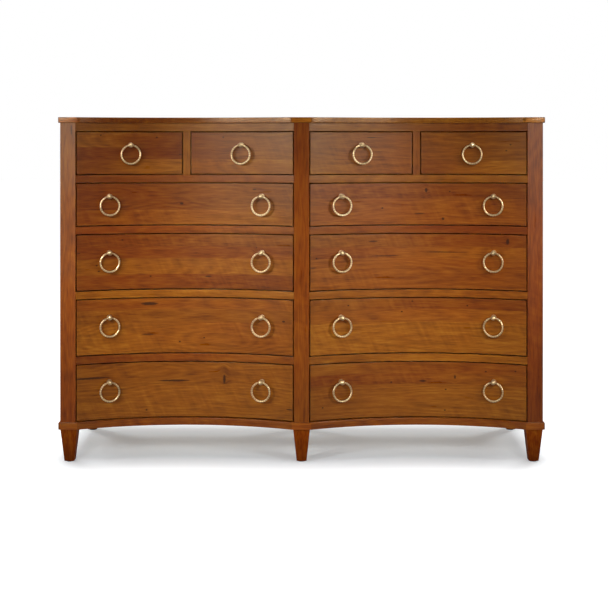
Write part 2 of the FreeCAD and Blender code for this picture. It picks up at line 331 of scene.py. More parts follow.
class Mixer:
    """Adds and joins the nodes of one material or of the world."""

    def __init__(self, tree: NodeTree) -> None:
        """Works on the nodes that are already there."""
        self.tree = tree

    @property
    def surface(self) -> Node:
        """Shader of a material's surface."""
        return self.tree.nodes["Principled BSDF"]

    def node(self, kind: str, **settings: Any) -> Node:
        """Adds a node.

        Args:
            kind: its type.
            settings: its properties by name.

        Returns:
            The node.
        """
        made = self.tree.nodes.new(kind)
        for key, value in settings.items():
            setattr(made, key, value)
        return made

    def join(self, socket: NodeSocket, value: Value) -> None:
        """Links an input to an output, or sets it to a constant.

        Args:
            socket: the input.
            value: the output or the constant.
        """
        if isinstance(value, NodeSocket):
            self.tree.links.new(value, socket)
        else:
            socket.default_value = value

    def feed(self, made: Node, *values: Value) -> Node:
        """Joins the first inputs of a node in order.

        Args:
            made: the node.
            values: what its inputs get.

        Returns:
            The node.
        """
        for socket, value in zip(made.inputs, values):
            self.join(socket, value)
        return made

    def fill(self, made: Node, **values: Value) -> Node:
        """Joins named inputs of a node.

        Args:
            made: the node.
            values: what its inputs get, whose names have an underscore for each space.

        Returns:
            The node.
        """
        for key, value in values.items():
            self.join(made.inputs[key.replace("_", " ")], value)
        return made

    def math(self, operation: str, first: Value, second: Value = 0.0, clamp: bool = False) -> NodeSocket:
        """Result of a sum on one or two values, which clamp keeps from 0 to 1."""
        made = self.node("ShaderNodeMath", operation=operation, use_clamp=clamp)
        return self.feed(made, first, second).outputs[0]

    def total(self, base: Value, *parts: tuple[Value, float]) -> NodeSocket:
        """Adds weighted parts to a value.

        Args:
            base: the value.
            parts: each part with its weight.

        Returns:
            The sum.
        """
        result = base
        for value, weight in parts:
            made = self.node("ShaderNodeMath", operation="MULTIPLY_ADD")
            result = self.feed(made, value, weight, result).outputs[0]
        return result

    def split(self, vector: NodeSocket) -> list[NodeSocket]:
        """The three parts of a vector."""
        return list(self.feed(self.node("ShaderNodeSeparateXYZ"), vector).outputs)

    def vector(self, *parts: Value) -> NodeSocket:
        """A vector of three parts."""
        return self.feed(self.node("ShaderNodeCombineXYZ"), *parts).outputs[0]

    def vector_math(self, operation: str, *values: Value, result: str = "Vector") -> NodeSocket:
        """Result of an operation on vectors."""
        return self.feed(self.node("ShaderNodeVectorMath", operation=operation), *values).outputs[result]

    def attribute(self, name: str) -> Node:
        """Node that reads a piece's own attribute."""
        return self.node("ShaderNodeAttribute", attribute_name=name)

    def place(self) -> NodeSocket:
        """Place of a point in the case."""
        return self.node("ShaderNodeTexCoord").outputs["Object"]

    def noise(self, place: NodeSocket, pattern: Pattern) -> NodeSocket:
        """Noise about 0.

        Args:
            place: where it is read.
            pattern: its repeats and detail.

        Returns:
            The noise, without the pattern's weight.
        """
        scaled = self.vector_math("MULTIPLY", place, pattern.stretch)
        made = self.fill(self.node("ShaderNodeTexNoise"), Scale=1.0, Detail=pattern.detail, Vector=scaled)
        return self.math("SUBTRACT", made.outputs["Fac"], NOISE_MEAN)

    def ease(self, value: NodeSocket, low: float, high: float) -> NodeSocket:
        """Smooth step of a value, 0 at low and 1 at high."""
        made = self.node("ShaderNodeMapRange", interpolation_type="SMOOTHSTEP")
        return self.fill(made, Value=value, From_Min=low, From_Max=high).outputs["Result"]

    def ramp(self, factor: NodeSocket, colours: Sequence[Colour]) -> NodeSocket:
        """Picks a colour from an even row of colours.

        Args:
            factor: the place in the row, from 0 to 1.
            colours: the row.

        Returns:
            The colour.
        """
        made = self.node("ShaderNodeValToRGB")
        stops = made.color_ramp.elements
        while len(stops) < len(colours):
            stops.new(0.5)
        for number, colour in enumerate(colours):
            stops[number].position = number / (len(colours) - 1)
            stops[number].color = colour
        return self.feed(made, factor).outputs["Color"]

    def mix(self, factor: Value, low: Value, high: Value) -> NodeSocket:
        """Mixes two colours.

        Args:
            factor: share of the second colour.
            low: the first colour.
            high: the second colour.

        Returns:
            The mixed colour.
        """
        made = self.node("ShaderNodeMix", data_type="RGBA")
        for name, value in (("Factor_Float", factor), ("A_Color", low), ("B_Color", high)):
            self.join(next(s for s in made.inputs if s.identifier == name), value)
        return next(s for s in made.outputs if s.identifier == "Result_Color")

    def bump(self, height: NodeSocket, distance: float, strength: float) -> None:
        """Gives the surface a relief of that depth, at so much of its strength."""
        made = self.fill(self.node("ShaderNodeBump"), Strength=strength, Distance=distance, Height=height)
        self.fill(self.surface, Normal=made.outputs["Normal"])


def new_material(name: str) -> Material:
    """Starts a material.

    Args:
        name: its name.

    Returns:
        The material, which holds only its surface.
    """
    material = bpy.data.materials.new(name)
    material.use_nodes = True
    return material


@dataclass(frozen=True)
class WoodFinish:
    """Oiled wood with growth rings, streaks, blotches and a few knots, which follow each board.

    golden and red are rows of colours from dark to light wood. A pattern's weight is its share in the place
    between them, but wander and sway bend the rings by a length, and jitter by a number of rings.
    """

    name: str
    golden: tuple[Colour, Colour, Colour]
    red: tuple[Colour, Colour, Colour]
    roughness: float = 0.32
    shine: float = 0.34
    sheen: Colour = (1.0, 0.86, 0.68, 1.0)
    ring_width: float = 0.0065
    ring_weight: float = 0.40
    wander: Pattern = Pattern((2.0, 8.0, 8.0), 2.0, 0.034)
    sway: Pattern = Pattern((1.8, 2.0, 2.0), 1.0, 0.090)
    jitter: Pattern = Pattern((3.0, 26.0, 26.0), 2.0, 1.8)
    streak: Pattern = Pattern((6.0, 105.0, 105.0), 4.0, 0.62)
    fibre: Pattern = Pattern((24.0, 520.0, 520.0), 2.0, 1.00)
    band: Pattern = Pattern((2.4, 17.0, 17.0), 2.0, 0.42)
    blotch: Pattern = Pattern((13.0, 16.0, 16.0), 2.0, 0.28)
    curl: Pattern = Pattern((70.0, 10.0, 10.0), 1.0, 0.40)
    curl_slant: float = 0.45
    curly: Pattern = Pattern((2.2, 7.0, 7.0), 1.0)
    curly_span: tuple[float, float] = (0.0, 0.14)
    middle_tone: float = 0.5
    hue_rest: float = 0.25
    hue_by_tone: float = -0.5
    hue_by_band: float = 0.4
    hue_by_blotch: float = 0.2
    rough_by_streak: float = 0.18
    rough_by_blotch: float = -0.10
    relief: float = 0.00025
    relief_strength: float = 0.5
    relief_share: float = 0.5
    knot: Colour = paint(42, 14, 2)
    knot_edge: Pattern = Pattern((140.0, 420.0, 1.0), 2.0, 1.6)
    knot_span: tuple[float, float] = (1.9, 0.5)
    knot_depth: float = 0.90
    knot_halo: float = -0.07
    knot_pull: float = -0.7

    def make(self) -> Material:
        """Makes the finish for pieces whose boards have their own grain attributes.

        Returns:
            The material.
        """
        material = new_material(self.name)
        mixer = Mixer(material.node_tree)
        timber = mixer.split(mixer.attribute("timber").outputs["Vector"])
        along, across, depth = mixer.split(mixer.attribute("grain").outputs["Vector"])
        dark: Value = 0.0
        for number in range(1, KNOTS_PER_BOARD + 1):
            across, core = self._knot(mixer, number, along, across)
            dark = mixer.math("MAXIMUM", dark, core)
        self._surface(mixer, (along, across, depth), timber, dark)
        return material

    def make_for_node(self, lay: Fibres, timber: Timber) -> Material:
        """Makes the finish for a solid that is shown as it is, from its place in the case.

        Args:
            lay: axes of its boards.
            timber: colour lot of all its boards.

        Returns:
            The material.
        """
        material = new_material(f"{self.name}_{lay.name.lower()}")
        mixer = Mixer(material.node_tree)
        place = mixer.split(mixer.place())
        self._surface(mixer, [place[axis] for axis in lay.value], timber.value)
        return material

    def _knot(
        self, mixer: Mixer, number: int, along: NodeSocket, across: NodeSocket
    ) -> tuple[NodeSocket, NodeSocket]:
        """Bends the grain round one knot of a board.

        Args:
            mixer: nodes of the material.
            number: which of the board's knots it is.
            along: place along the fibres.
            across: place across the face.

        Returns:
            The bent place across the face, and how far into the knot a point is.
        """
        knot = mixer.attribute(f"knot_{number}")
        knot_along, knot_across, length = mixer.split(knot.outputs["Vector"])
        aside = mixer.math("SUBTRACT", across, knot_across)
        shares = (
            mixer.math("DIVIDE", mixer.math("SUBTRACT", along, knot_along), length),
            mixer.math("DIVIDE", aside, knot.outputs["Alpha"]),
        )
        squares = [mixer.math("MULTIPLY", share, share) for share in shares]
        ragged = mixer.noise(mixer.vector(along, across, 0.0), self.knot_edge)
        far = mixer.total(mixer.math("ADD", *squares), (ragged, self.knot_edge.weight))
        core = mixer.math("MULTIPLY", mixer.ease(far, *self.knot_span), self.knot_depth)
        halo = mixer.math("EXPONENT", mixer.math("MULTIPLY", far, self.knot_halo))
        pulled = mixer.math("MULTIPLY", mixer.math("MULTIPLY", aside, halo), self.knot_pull)
        return mixer.math("ADD", across, pulled), core

    def _surface(
        self,
        mixer: Mixer,
        place: Sequence[NodeSocket],
        timber: Sequence[Value],
        dark: Optional[NodeSocket] = None,
    ) -> None:
        """Colours the wood from places along, across and through the board.

        Args:
            mixer: nodes of the material.
            place: the three places of a point in its board.
            timber: redness, lightness and strength of figure.
            dark: how far into a knot a point is, where the wood has knots.
        """
        along, across, depth = place
        redness, lightness, strength = timber
        point = mixer.vector(along, across, depth)
        wander = mixer.noise(point, self.wander)
        sway = mixer.noise(point, self.sway)
        slant = mixer.vector(mixer.total(along, (across, self.curl_slant)), across, depth)
        across = mixer.total(across, (wander, self.wander.weight))
        depth = mixer.total(depth, (sway, self.sway.weight))
        squares = [mixer.math("MULTIPLY", value, value) for value in (across, depth)]
        radius = mixer.math("SQRT", mixer.math("ADD", *squares))
        jitter = mixer.noise(point, self.jitter)
        year = mixer.total(mixer.math("DIVIDE", radius, self.ring_width), (jitter, self.jitter.weight))
        ring = mixer.math("SUBTRACT", mixer.math("PINGPONG", year, HALF_RING), HALF_RING / 2)
        ring = mixer.math("MULTIPLY", ring, strength)
        patterns = self.streak, self.fibre, self.band, self.blotch
        streak, fibre, band, blotch = (mixer.noise(point, pattern) for pattern in patterns)
        curly = mixer.ease(mixer.noise(point, self.curly), *self.curly_span)
        curl = mixer.math("MULTIPLY", mixer.noise(slant, self.curl), curly)
        tone = mixer.total(
            self.middle_tone,
            (ring, self.ring_weight),
            (streak, self.streak.weight),
            (fibre, self.fibre.weight),
            (band, self.band.weight),
            (blotch, self.blotch.weight),
            (curl, self.curl.weight),
        )
        drift = mixer.total(
            self.hue_rest, (tone, self.hue_by_tone), (band, self.hue_by_band), (blotch, self.hue_by_blotch)
        )
        hue = mixer.math("ADD", redness, drift, clamp=True)
        colour = mixer.mix(hue, mixer.ramp(tone, self.golden), mixer.ramp(tone, self.red))
        shade = mixer.node("ShaderNodeVectorMath", operation="SCALE")
        colour = mixer.fill(mixer.feed(shade, colour), Scale=lightness).outputs[0]
        if dark is not None:
            colour = mixer.mix(dark, colour, self.knot)
        rough = mixer.total(self.roughness, (streak, self.rough_by_streak), (blotch, self.rough_by_blotch))
        mixer.fill(
            mixer.surface,
            Base_Color=colour,
            Roughness=rough,
            Specular_IOR_Level=self.shine,
            Specular_Tint=self.sheen,
        )
        height = mixer.total(fibre, (ring, self.relief_share), (streak, self.relief_share))
        mixer.bump(height, self.relief, self.relief_strength)


@dataclass(frozen=True)
class MetalFinish:
    """Cast metal with a hammered skin and a thin patina, brighter where its beads are rubbed."""

    name: str
    worn: Colour
    bright: Colour
    roughness: float = 0.36
    wear_rest: float = 0.45
    patina: Pattern = Pattern.even(160.0, 3.0, 0.9)
    dents: Pattern = Pattern.even(330.0, 1.0, 0.5)
    scuffs: Pattern = Pattern.even(900.0, 2.0, 0.15)
    bead_weight: float = 0.35
    rough_by_patina: float = -0.30
    relief: float = 0.0006
    relief_strength: float = 0.6

    def make(self) -> Material:
        """Makes the finish on Object coordinates.

        Returns:
            The material.
        """
        material = new_material(self.name)
        mixer = Mixer(material.node_tree)
        place = mixer.place()
        bead = mixer.attribute("bead").outputs["Fac"]
        patina, dents, scuffs = (
            mixer.noise(place, pattern) for pattern in (self.patina, self.dents, self.scuffs)
        )
        rubbed = mixer.total(
            0.0, (patina, self.patina.weight), (dents, self.dents.weight), (bead, self.bead_weight)
        )
        wear = mixer.math("ADD", self.wear_rest, rubbed, clamp=True)
        rough = mixer.total(self.roughness, (patina, self.rough_by_patina), (scuffs, self.scuffs.weight))
        colour = mixer.ramp(wear, (self.worn, self.bright))
        mixer.fill(mixer.surface, Base_Color=colour, Roughness=rough, Metallic=1.0)
        mixer.bump(mixer.total(dents, (scuffs, self.scuffs.weight)), self.relief, self.relief_strength)
        return material


@dataclass(frozen=True)
class PadFinish:
    """Dark moulded plastic with a fine grain."""

    name: str
    dull: Colour
    rubbed: Colour
    roughness: float = 0.6
    wear_rest: float = 0.4
    wear: Pattern = Pattern.even(240.0, 3.0, 0.9)
    rough_by_wear: float = 0.3
    grain: Pattern = Pattern.even(1500.0, 1.0)
    relief: float = 0.0001
    relief_strength: float = 0.4

    def make(self) -> Material:
        """Makes the finish on Object coordinates.

        Returns:
            The material.
        """
        material = new_material(self.name)
        mixer = Mixer(material.node_tree)
        place = mixer.place()
        wear, grain = (mixer.noise(place, pattern) for pattern in (self.wear, self.grain))
        tone = mixer.total(self.wear_rest, (wear, self.wear.weight))
        rough = mixer.total(self.roughness, (wear, self.rough_by_wear))
        mixer.fill(mixer.surface, Base_Color=mixer.ramp(tone, (self.dull, self.rubbed)), Roughness=rough)
        mixer.bump(grain, self.relief, self.relief_strength)
        return material


class Slot(Enum):
    """Material slots of the record."""

    CHERRY = "cherry"
    PLAIN_WOOD = "plain_wood"
    BRASS = "brass"
    GLIDE = "glide"


CHERRY = WoodFinish(
    "oiled_cherry",
    golden=(paint(90, 44, 3), paint(134, 78, 11), paint(162, 106, 28)),
    red=(paint(64, 20, 0), paint(124, 51, 0), paint(146, 74, 8)),
)
DRAWER_WOOD = WoodFinish(
    "pale_drawer_wood",
    golden=(paint(150, 116, 74), paint(190, 154, 106), paint(216, 184, 138)),
    red=(paint(140, 98, 60), paint(180, 136, 90), paint(206, 168, 122)),
    roughness=0.52,
)
BRASS = MetalFinish("pale_old_brass", worn=paint(158, 124, 78), bright=paint(250, 224, 176))
GLIDE = PadFinish("dark_glide", dull=paint(22, 20, 19), rubbed=paint(52, 48, 45))


class Rub(Enum):
    """Finishes of the show wood, by how far it is rubbed down."""

    SATIN = CHERRY
    POLISHED = replace(
        CHERRY, name="polished_cherry", roughness=0.18, shine=0.66, sheen=(1.0, 0.72, 0.46, 1.0)
    )
    DULL = replace(CHERRY, name="dull_cherry", roughness=0.60, shine=0.08)


@dataclass
class Finishes:
    """Materials of the whole piece of furniture, each made once."""

    show_wood: dict[Rub, Material] = field(default_factory=lambda: {rub: rub.value.make() for rub in Rub})
    drawer_wood: Material = field(default_factory=DRAWER_WOOD.make)
    runner_wood: Material = field(
        default_factory=lambda: DRAWER_WOOD.make_for_node(Fibres.BACKWARD_SIDE, Timber.AMBER)
    )
    brass: Material = field(default_factory=BRASS.make)
    glide: Material = field(default_factory=GLIDE.make)


def lowest(edge: BMEdge, axis: int) -> float:
    """Least coordinate of an edge along an axis."""
    return min(vert.co[axis] for vert in edge.verts)


def highest(edge: BMEdge, axis: int) -> float:
    """Greatest coordinate of an edge along an axis."""
    return max(vert.co[axis] for vert in edge.verts)


def from_middle(edge: BMEdge) -> float:
    """Least distance of an edge's ends from the middle of the case."""
    return min(abs(vert.co.x) for vert in edge.verts)


def runs_along(edge: BMEdge, axis: int) -> bool:
    """Whether an edge is a long one along an axis."""
    return highest(edge, axis) - lowest(edge, axis) > LONG_EDGE


def plank(low: Sequence[float], high: Sequence[float]) -> BMesh:
    """Saws a straight board.

    Args:
        low: its lowest corner.
        high: its highest corner.

    Returns:
        The board.
    """
    bm = bmesh.new()
    low, high = Vector(low), Vector(high)
    bmesh.ops.create_cube(bm, size=1.0)
    bmesh.ops.scale(bm, vec=high - low, verts=bm.verts)
    bmesh.ops.translate(bm, vec=(low + high) / 2, verts=bm.verts)
    return bm


def ease(bm: BMesh, width: float, segments: int = 2, wanted: Optional[Wanted] = None) -> None:
    """Rounds the corners of a board.

    Args:
        bm: the board.
        width: how far the rounding reaches along each face.
        segments: steps of the rounding.
        wanted: which of the corners are rounded; all of them if left out.
    """
    corners = [
        edge
        for edge in bm.edges
        if len(edge.link_faces) == 2
        and edge.calc_face_angle() > CORNER_ANGLE
        and (wanted is None or wanted(edge))
    ]
    bmesh.ops.bevel(
        bm, geom=corners, offset=width, offset_type="OFFSET", segments=segments, profile=ROUND_PROFILE,
        affect="EDGES", material=-1, clamp_overlap=True,
    )


def everything(bm: BMesh) -> Parts:
    """All points, edges and faces of a board."""
    return bm.verts[:] + bm.edges[:] + bm.faces[:]


def trim(bm: BMesh, point: Sequence[float], outward: Sequence[float]) -> None:
    """Cuts a board off square at a plane and closes the cut.

    Args:
        bm: the board.
        point: a point on the plane.
        outward: direction of what is cut off.
    """
    cut = bmesh.ops.bisect_plane(
        bm, geom=everything(bm), dist=TOUCH, plane_co=point, plane_no=outward, clear_outer=True
    )
    rim = [part for part in cut["geom_cut"] if isinstance(part, BMEdge)]
    bmesh.ops.edgeloop_fill(bm, edges=rim)


def score(bm: BMesh, heights: Sequence[float]) -> None:
    """Divides a face along level lines, where two of its boards are glued."""
    for z in heights:
        bmesh.ops.bisect_plane(bm, geom=everything(bm), dist=TOUCH, plane_co=(0, 0, z), plane_no=UP)


def glue_lines(boards: Sequence[Board], low: float, high: float) -> list[float]:
    """Finds where the boards of a face meet.

    Args:
        boards: the boards, from the top of the face down.
        low: bottom of the face.
        high: top of the face.

    Returns:
        The top of the face, the lines between its boards and its bottom.
    """
    whole = sum(board.share for board in boards)
    lines = [high]
    for board in boards:
        lines.append(lines[-1] - (high - low) * board.share / whole)
    return lines


@dataclass
class SweptBoard:
    """Board that follows a bay's arc, cut off square at both ends."""

    sweep: Sweep
    x0: float
    x1: float
    z0: float
    z1: float
    offset: float = 0.0
    depth: float = 0.022
    far_y: Optional[float] = None
    steps: int = 72
    overrun: float = 0.012

    def build(self) -> BMesh:
        """Spins the board's section along the arc and trims it.

        Returns:
            The board.
        """
        bm = bmesh.new()
        sweep = self.sweep
        start = sweep.angle(self.x0 - self.overrun)
        end = sweep.angle(self.x1 + self.overrun)
        corners = [(self.offset, self.z0), (self.offset + self.depth, self.z0)]
        corners += [(offset, self.z1) for offset, z in reversed(corners)]
        bm.faces.new([bm.verts.new(sweep.point(start, offset, z)) for offset, z in corners])
        bmesh.ops.spin(
            bm, geom=everything(bm), cent=(sweep.middle_x, sweep.centre_y, 0), axis=UP,
            angle=start - end, steps=self.steps,
        )
        trim(bm, (self.x0, 0, 0), (-1, 0, 0))
        trim(bm, (self.x1, 0, 0), (1, 0, 0))
        if self.far_y is not None:
            trim(bm, (0, self.far_y, 0), (0, 1, 0))
        bmesh.ops.recalc_face_normals(bm, faces=bm.faces)
        return bm


@dataclass
class SerpentineBoard:
    """Board across both bays whose front follows a serpentine line."""

    line: Serpentine
    half_width: float
    far_y: float
    z0: float
    z1: float
    steps: int = 64

    def build(self) -> BMesh:
        """Draws the front line, then extrudes it to the back and up.

        Returns:
            The board.
        """
        bm = bmesh.new()
        flat_y, reach = self.line.flat_y, self.line.reach
        turn = 2 * math.asin(reach / self.line.radius)
        last = bm.verts.new((-self.half_width, flat_y, self.z0))
        for sign in SIDES.values():
            middle = sign * SIZES.bay_centre
            start = bm.verts.new((middle - reach, flat_y, self.z0))
            bm.edges.new((last, start))
            spun = bmesh.ops.spin(
                bm, geom=[start], cent=(middle, self.line.centre_y, 0), axis=UP, angle=-turn, steps=self.steps
            )
            last = next(part for part in spun["geom_last"] if isinstance(part, BMVert))
        bm.edges.new((last, bm.verts.new((self.half_width, flat_y, self.z0))))
        made = bmesh.ops.extrude_edge_only(bm, edges=bm.edges[:])
        for vert in (part for part in made["geom"] if isinstance(part, BMVert)):
            vert.co.y = self.far_y
        made = bmesh.ops.extrude_face_region(bm, geom=bm.faces[:])
        raised = [part for part in made["geom"] if isinstance(part, BMVert)]
        bmesh.ops.translate(bm, vec=(0, 0, self.z1 - self.z0), verts=raised)
        bmesh.ops.recalc_face_normals(bm, faces=bm.faces)
        return bm


@dataclass
class Skin:
    """Points and faces of a mesh, and the point and face of each corner."""

    points: np.ndarray
    centres: np.ndarray
    normals: np.ndarray
    corner: np.ndarray
    owner: np.ndarray

    @classmethod
    def of(cls, mesh: Mesh) -> "Skin":
        """Reads a mesh.

        Args:
            mesh: the mesh.

        Returns:
            Its skin.
        """
        points = np.empty(len(mesh.vertices) * 3, np.float32)
        mesh.vertices.foreach_get("co", points)
        centres = np.array([polygon.center for polygon in mesh.polygons], np.float64)
        normals = np.array([polygon.normal for polygon in mesh.polygons], np.float64)
        corner = np.empty(len(mesh.loops), np.int32)
        mesh.loops.foreach_get("vertex_index", corner)
        counts = [len(polygon.vertices) for polygon in mesh.polygons]
        owner = np.repeat(np.arange(len(mesh.polygons)), counts)
        return cls(points.reshape(-1, 3).astype(np.float64), centres, normals, corner, owner)


@dataclass(frozen=True)
class PaintedShadeAndLight:
    """Painted shade and painted light on show wood.

    edges is the lightness of a front's edge faces along the gaps, darkened as painted shade, and
    painted_flat_light that of the flat faces which stand furthest forward, lightened as painted light.
    """

    edges: float = 1.0
    painted_flat_light: float = 1.0

    def lightness(self, skin: Skin) -> np.ndarray:
        """Finds the painted shade and light on a piece.

        Args:
            skin: the piece's skin.

        Returns:
            The painted shade and light of each corner, as a factor on its lightness.
        """
        light = np.ones(len(skin.corner))
        facing = skin.normals[:, Y]
        # Painted shade on the edge faces along the gaps: their corners at the front darken, so the shade
        # fades towards the back.
        painted_shade_points = np.zeros(len(skin.points), bool)
        painted_shade_points[skin.corner[facing[skin.owner] < PAINTED_SHADE_FRONT_FACING]] = True
        light[(facing[skin.owner] > EDGE_FACING) & painted_shade_points[skin.corner]] *= self.edges
        # Painted light on the flat faces that stand furthest forward.
        foremost = skin.points[:, Y].min() + FLAT_DEPTH
        proud = (facing < FLAT_FACING) & (skin.centres[:, Y] < foremost)
        light[proud[skin.owner]] *= self.painted_flat_light
        return light


@dataclass(frozen=True)
class Layup:
    """Boards that a piece is glued up from, from the top of its face down, and how they lie in it.

    name is the piece's name, which seeds where in the tree its boards were cut.
    """

    name: str
    lay: Lay
    boards: Sequence[Board]
    # Painted shade along the gaps and painted light on the foremost flat faces of the piece.
    painted_light_and_shade: PaintedShadeAndLight = PaintedShadeAndLight()

    def write(self, mesh: Mesh) -> None:
        """Gives the corners of a piece their place in a tree, their colour lot with painted shade and light,
        and their knots.

        Args:
            mesh: the piece's mesh.
        """
        skin = Skin.of(mesh)
        grain, timber, knots = self._place(skin)
        # Paints shade and light into the lightness of each corner's colour lot.
        timber[:, 1] *= self.painted_light_and_shade.lightness(skin)
        places = mesh.attributes.new("grain", "FLOAT_VECTOR", "CORNER")
        places.data.foreach_set("vector", grain.astype(np.float32).ravel())
        for title, values in [("timber", timber)] + [(f"knot_{n}", v) for n, v in enumerate(knots, 1)]:
            colours = mesh.attributes.new(title, "FLOAT_COLOR", "CORNER")
            colours.data.foreach_set("color", values.astype(np.float32).ravel())

    def _place(self, skin: Skin) -> tuple[np.ndarray, np.ndarray, list[np.ndarray]]:
        """Cuts the boards from their trees.

        Args:
            skin: the piece's skin.

        Returns:
            The place of each corner in its tree, its colour lot and the knots of its board.
        """
        draw = random.Random(self.name)
        flat = self.lay.unroll(skin.points)
        down = self.lay.unroll(skin.centres)[skin.owner, 1]
        low, high = flat.min(axis=0), flat.max(axis=0)
        middle, span = (low + high) / 2, high - low
        drifted = smooth(np.minimum((flat[skin.corner, 0] - low[0]) / span[0] / DRIFT_SHARE, 1.0))
        grain = flat[skin.corner] - (middle[0], 0.0, low[2])
        timber = np.ones((len(skin.corner), 4))
        knots = [np.tile(NO_KNOT, (len(skin.corner), 1)) for number in range(KNOTS_PER_BOARD)]
        lines = glue_lines(self.boards, low[1], high[1])
        for board, top, bottom in zip(self.boards, lines, lines[1:]):
            mine = (down <= top + TOUCH) & (down >= bottom - TOUCH)
            drift = draw.uniform(*TREE_SPAN)
            heart_across = (top + bottom) / 2 + board.aside
            grain[mine] += (drift, -heart_across, -board.heart)
            ends = np.array((board.timber.value, (board.far or board.timber).value))
            timber[mine, :3] = ends[0] + drifted[mine, None] * (ends[1] - ends[0])
            for column, knot in zip(knots, board.knots):
                column[mine] = (
                    low[0] + knot.across * span[0] - middle[0] + drift,
                    high[1] - knot.down * span[1] - heart_across,
                    knot.length / 2,
                    knot.height / 2,
                )
            down = np.where(mine, np.inf, down)
        return grain, timber, knots


@dataclass
class Workshop:
    """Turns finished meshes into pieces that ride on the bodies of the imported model."""

    finishes: Finishes

    def piece(self, bm: BMesh, name: str, body: str, material: Material, node: str) -> Object:
        """Makes a piece that stands for a solid.

        Args:
            bm: its shape, in place.
            name: its name.
            body: the body it moves with.
            material: its finish.
            node: the solid it stands for.

        Returns:
            The piece.
        """
        mesh = bpy.data.meshes.new(name)
        bm.to_mesh(mesh)
        bm.free()
        mesh.polygons.foreach_set("use_smooth", [True] * len(mesh.polygons))
        mesh.set_sharp_from_angle(angle=SHARP_ANGLE)
        mesh.materials.append(material)
        made = bpy.data.objects.new(name, mesh)
        bpy.context.scene.collection.objects.link(made)
        evened = made.modifiers.new("even_normals", "WEIGHTED_NORMAL")
        evened.keep_sharp = True
        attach(made, body)
        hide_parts(node)
        log.info("%s on %s: %d faces", name, body, len(mesh.polygons))
        return made

    def show_board(
        self,
        bm: BMesh,
        name: str,
        node: str,
        lay: Lay,
        boards: Sequence[Board],
        body: str = "case",
        painted_light_and_shade: PaintedShadeAndLight = PaintedShadeAndLight(),
        rub: Rub = Rub.SATIN,
    ) -> None:
        """Makes a piece of show wood, whose boards are listed from the top of its face down."""
        made = self.piece(bm, name, body, self.finishes.show_wood[rub], node)
        Layup(name, lay, boards, painted_light_and_shade).write(made.data)

    def inner_board(
        self, bm: BMesh, name: str, node: str, lay: Lay, boards: Sequence[Board], body: str = "case"
    ) -> None:
        """Makes a piece of the plain wood that is used inside, from its boards."""
        made = self.piece(bm, name, body, self.finishes.drawer_wood, node)
        Layup(name, lay, boards).write(made.data)

    def dress(self, node: str, material: Material) -> None:
        """Gives a solid that is shown as it is its finish.

        Args:
            node: the solid.
            material: its finish.
        """
        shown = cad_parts[node]
        shown.data.materials.clear()
        shown.data.materials.append(material)
        log.info("%s dressed in %s", node, material.name)


@dataclass
class TopBoard:
    """Thin top with a serpentine front edge."""

    overhang: float = 0.006
    ease_width: float = 0.002
    ease_steps: int = 3
    # Painted light: the flat faces at the ends and in the middle of the front edge are made paler.
    painted_light_and_shade: PaintedShadeAndLight = PaintedShadeAndLight(painted_flat_light=1.65)
    boards: tuple[Board, ...] = (
        Board(Timber.AMBER, 0.9),
        Board(Timber.GOLDEN, 1.0),
        Board(Timber.RUSSET, 0.8),
        Board(Timber.CHESTNUT, 1.1, Timber.STRAW),
    )

    def build(self, shop: Workshop) -> None:
        """Builds and dresses the top.

        Args:
            shop: makes the piece.
        """
        line = Serpentine(self.overhang)
        bm = SerpentineBoard(line, SIZES.half_top, SIZES.back_y, SIZES.case_top_z, SIZES.top_z).build()
        front_y = SIZES.back_y - NEAR
        ease(
            bm, self.ease_width, self.ease_steps,
            lambda edge: highest(edge, Y) < front_y or runs_along(edge, Y),
        )
        lay, rub = Fibres.LEVEL_TOP, Rub.POLISHED
        shop.show_board(bm, "top_board", "top_panel", lay, self.boards, painted_light_and_shade=self.painted_light_and_shade, rub=rub)


@dataclass
class Posts:
    """Three flat posts in front and two square ones at the back."""

    ease_width: float = 0.0015
    ease_steps: int = 3
    front_boards: tuple[Board, ...] = (
        Board(Timber.FLAME, 1.0, Timber.AMBER, 0.05, 0.01, (Knot(0.976, 0.28, 0.032, 0.0040),)),
        Board(Timber.RUSSET, 1.0, Timber.FLAME, 0.045, -0.012),
        Board(Timber.BRICK, 1.0, Timber.FLAME, 0.06, 0.014),
    )
    rear_board: Board = Board(Timber.RUSSET, heart=0.05)

    def build(self, shop: Workshop) -> None:
        """Builds and dresses the five posts.

        Args:
            shop: makes the pieces.
        """
        side_x = SIZES.half_case - SIZES.post / 2
        for name, x, board in zip(("left", "centre", "right"), (-side_x, 0.0, side_x), self.front_boards):
            self._post(shop, f"{name}_post", f"{name}_front_post", x, SIZES.front_y, board)
        rear_y = SIZES.back_y - SIZES.post
        for name, sign in SIDES.items():
            self._post(shop, f"rear_{name}_post", "rear_posts", sign * side_x, rear_y, self.rear_board)

    def _post(self, shop: Workshop, name: str, node: str, x: float, y: float, board: Board) -> None:
        """Builds one post.

        Args:
            shop: makes the piece.
            name: its name.
            node: the solid it stands for.
            x: its middle.
            y: its front.
            board: the board it is sawn from.
        """
        half = SIZES.post / 2
        bm = plank((x - half, y, SIZES.base_top_z), (x + half, y + SIZES.post, SIZES.case_top_z))
        ease(bm, self.ease_width, self.ease_steps, lambda edge: runs_along(edge, Z))
        shop.show_board(bm, name, node, Fibres.UPRIGHT_FACE, (board,))


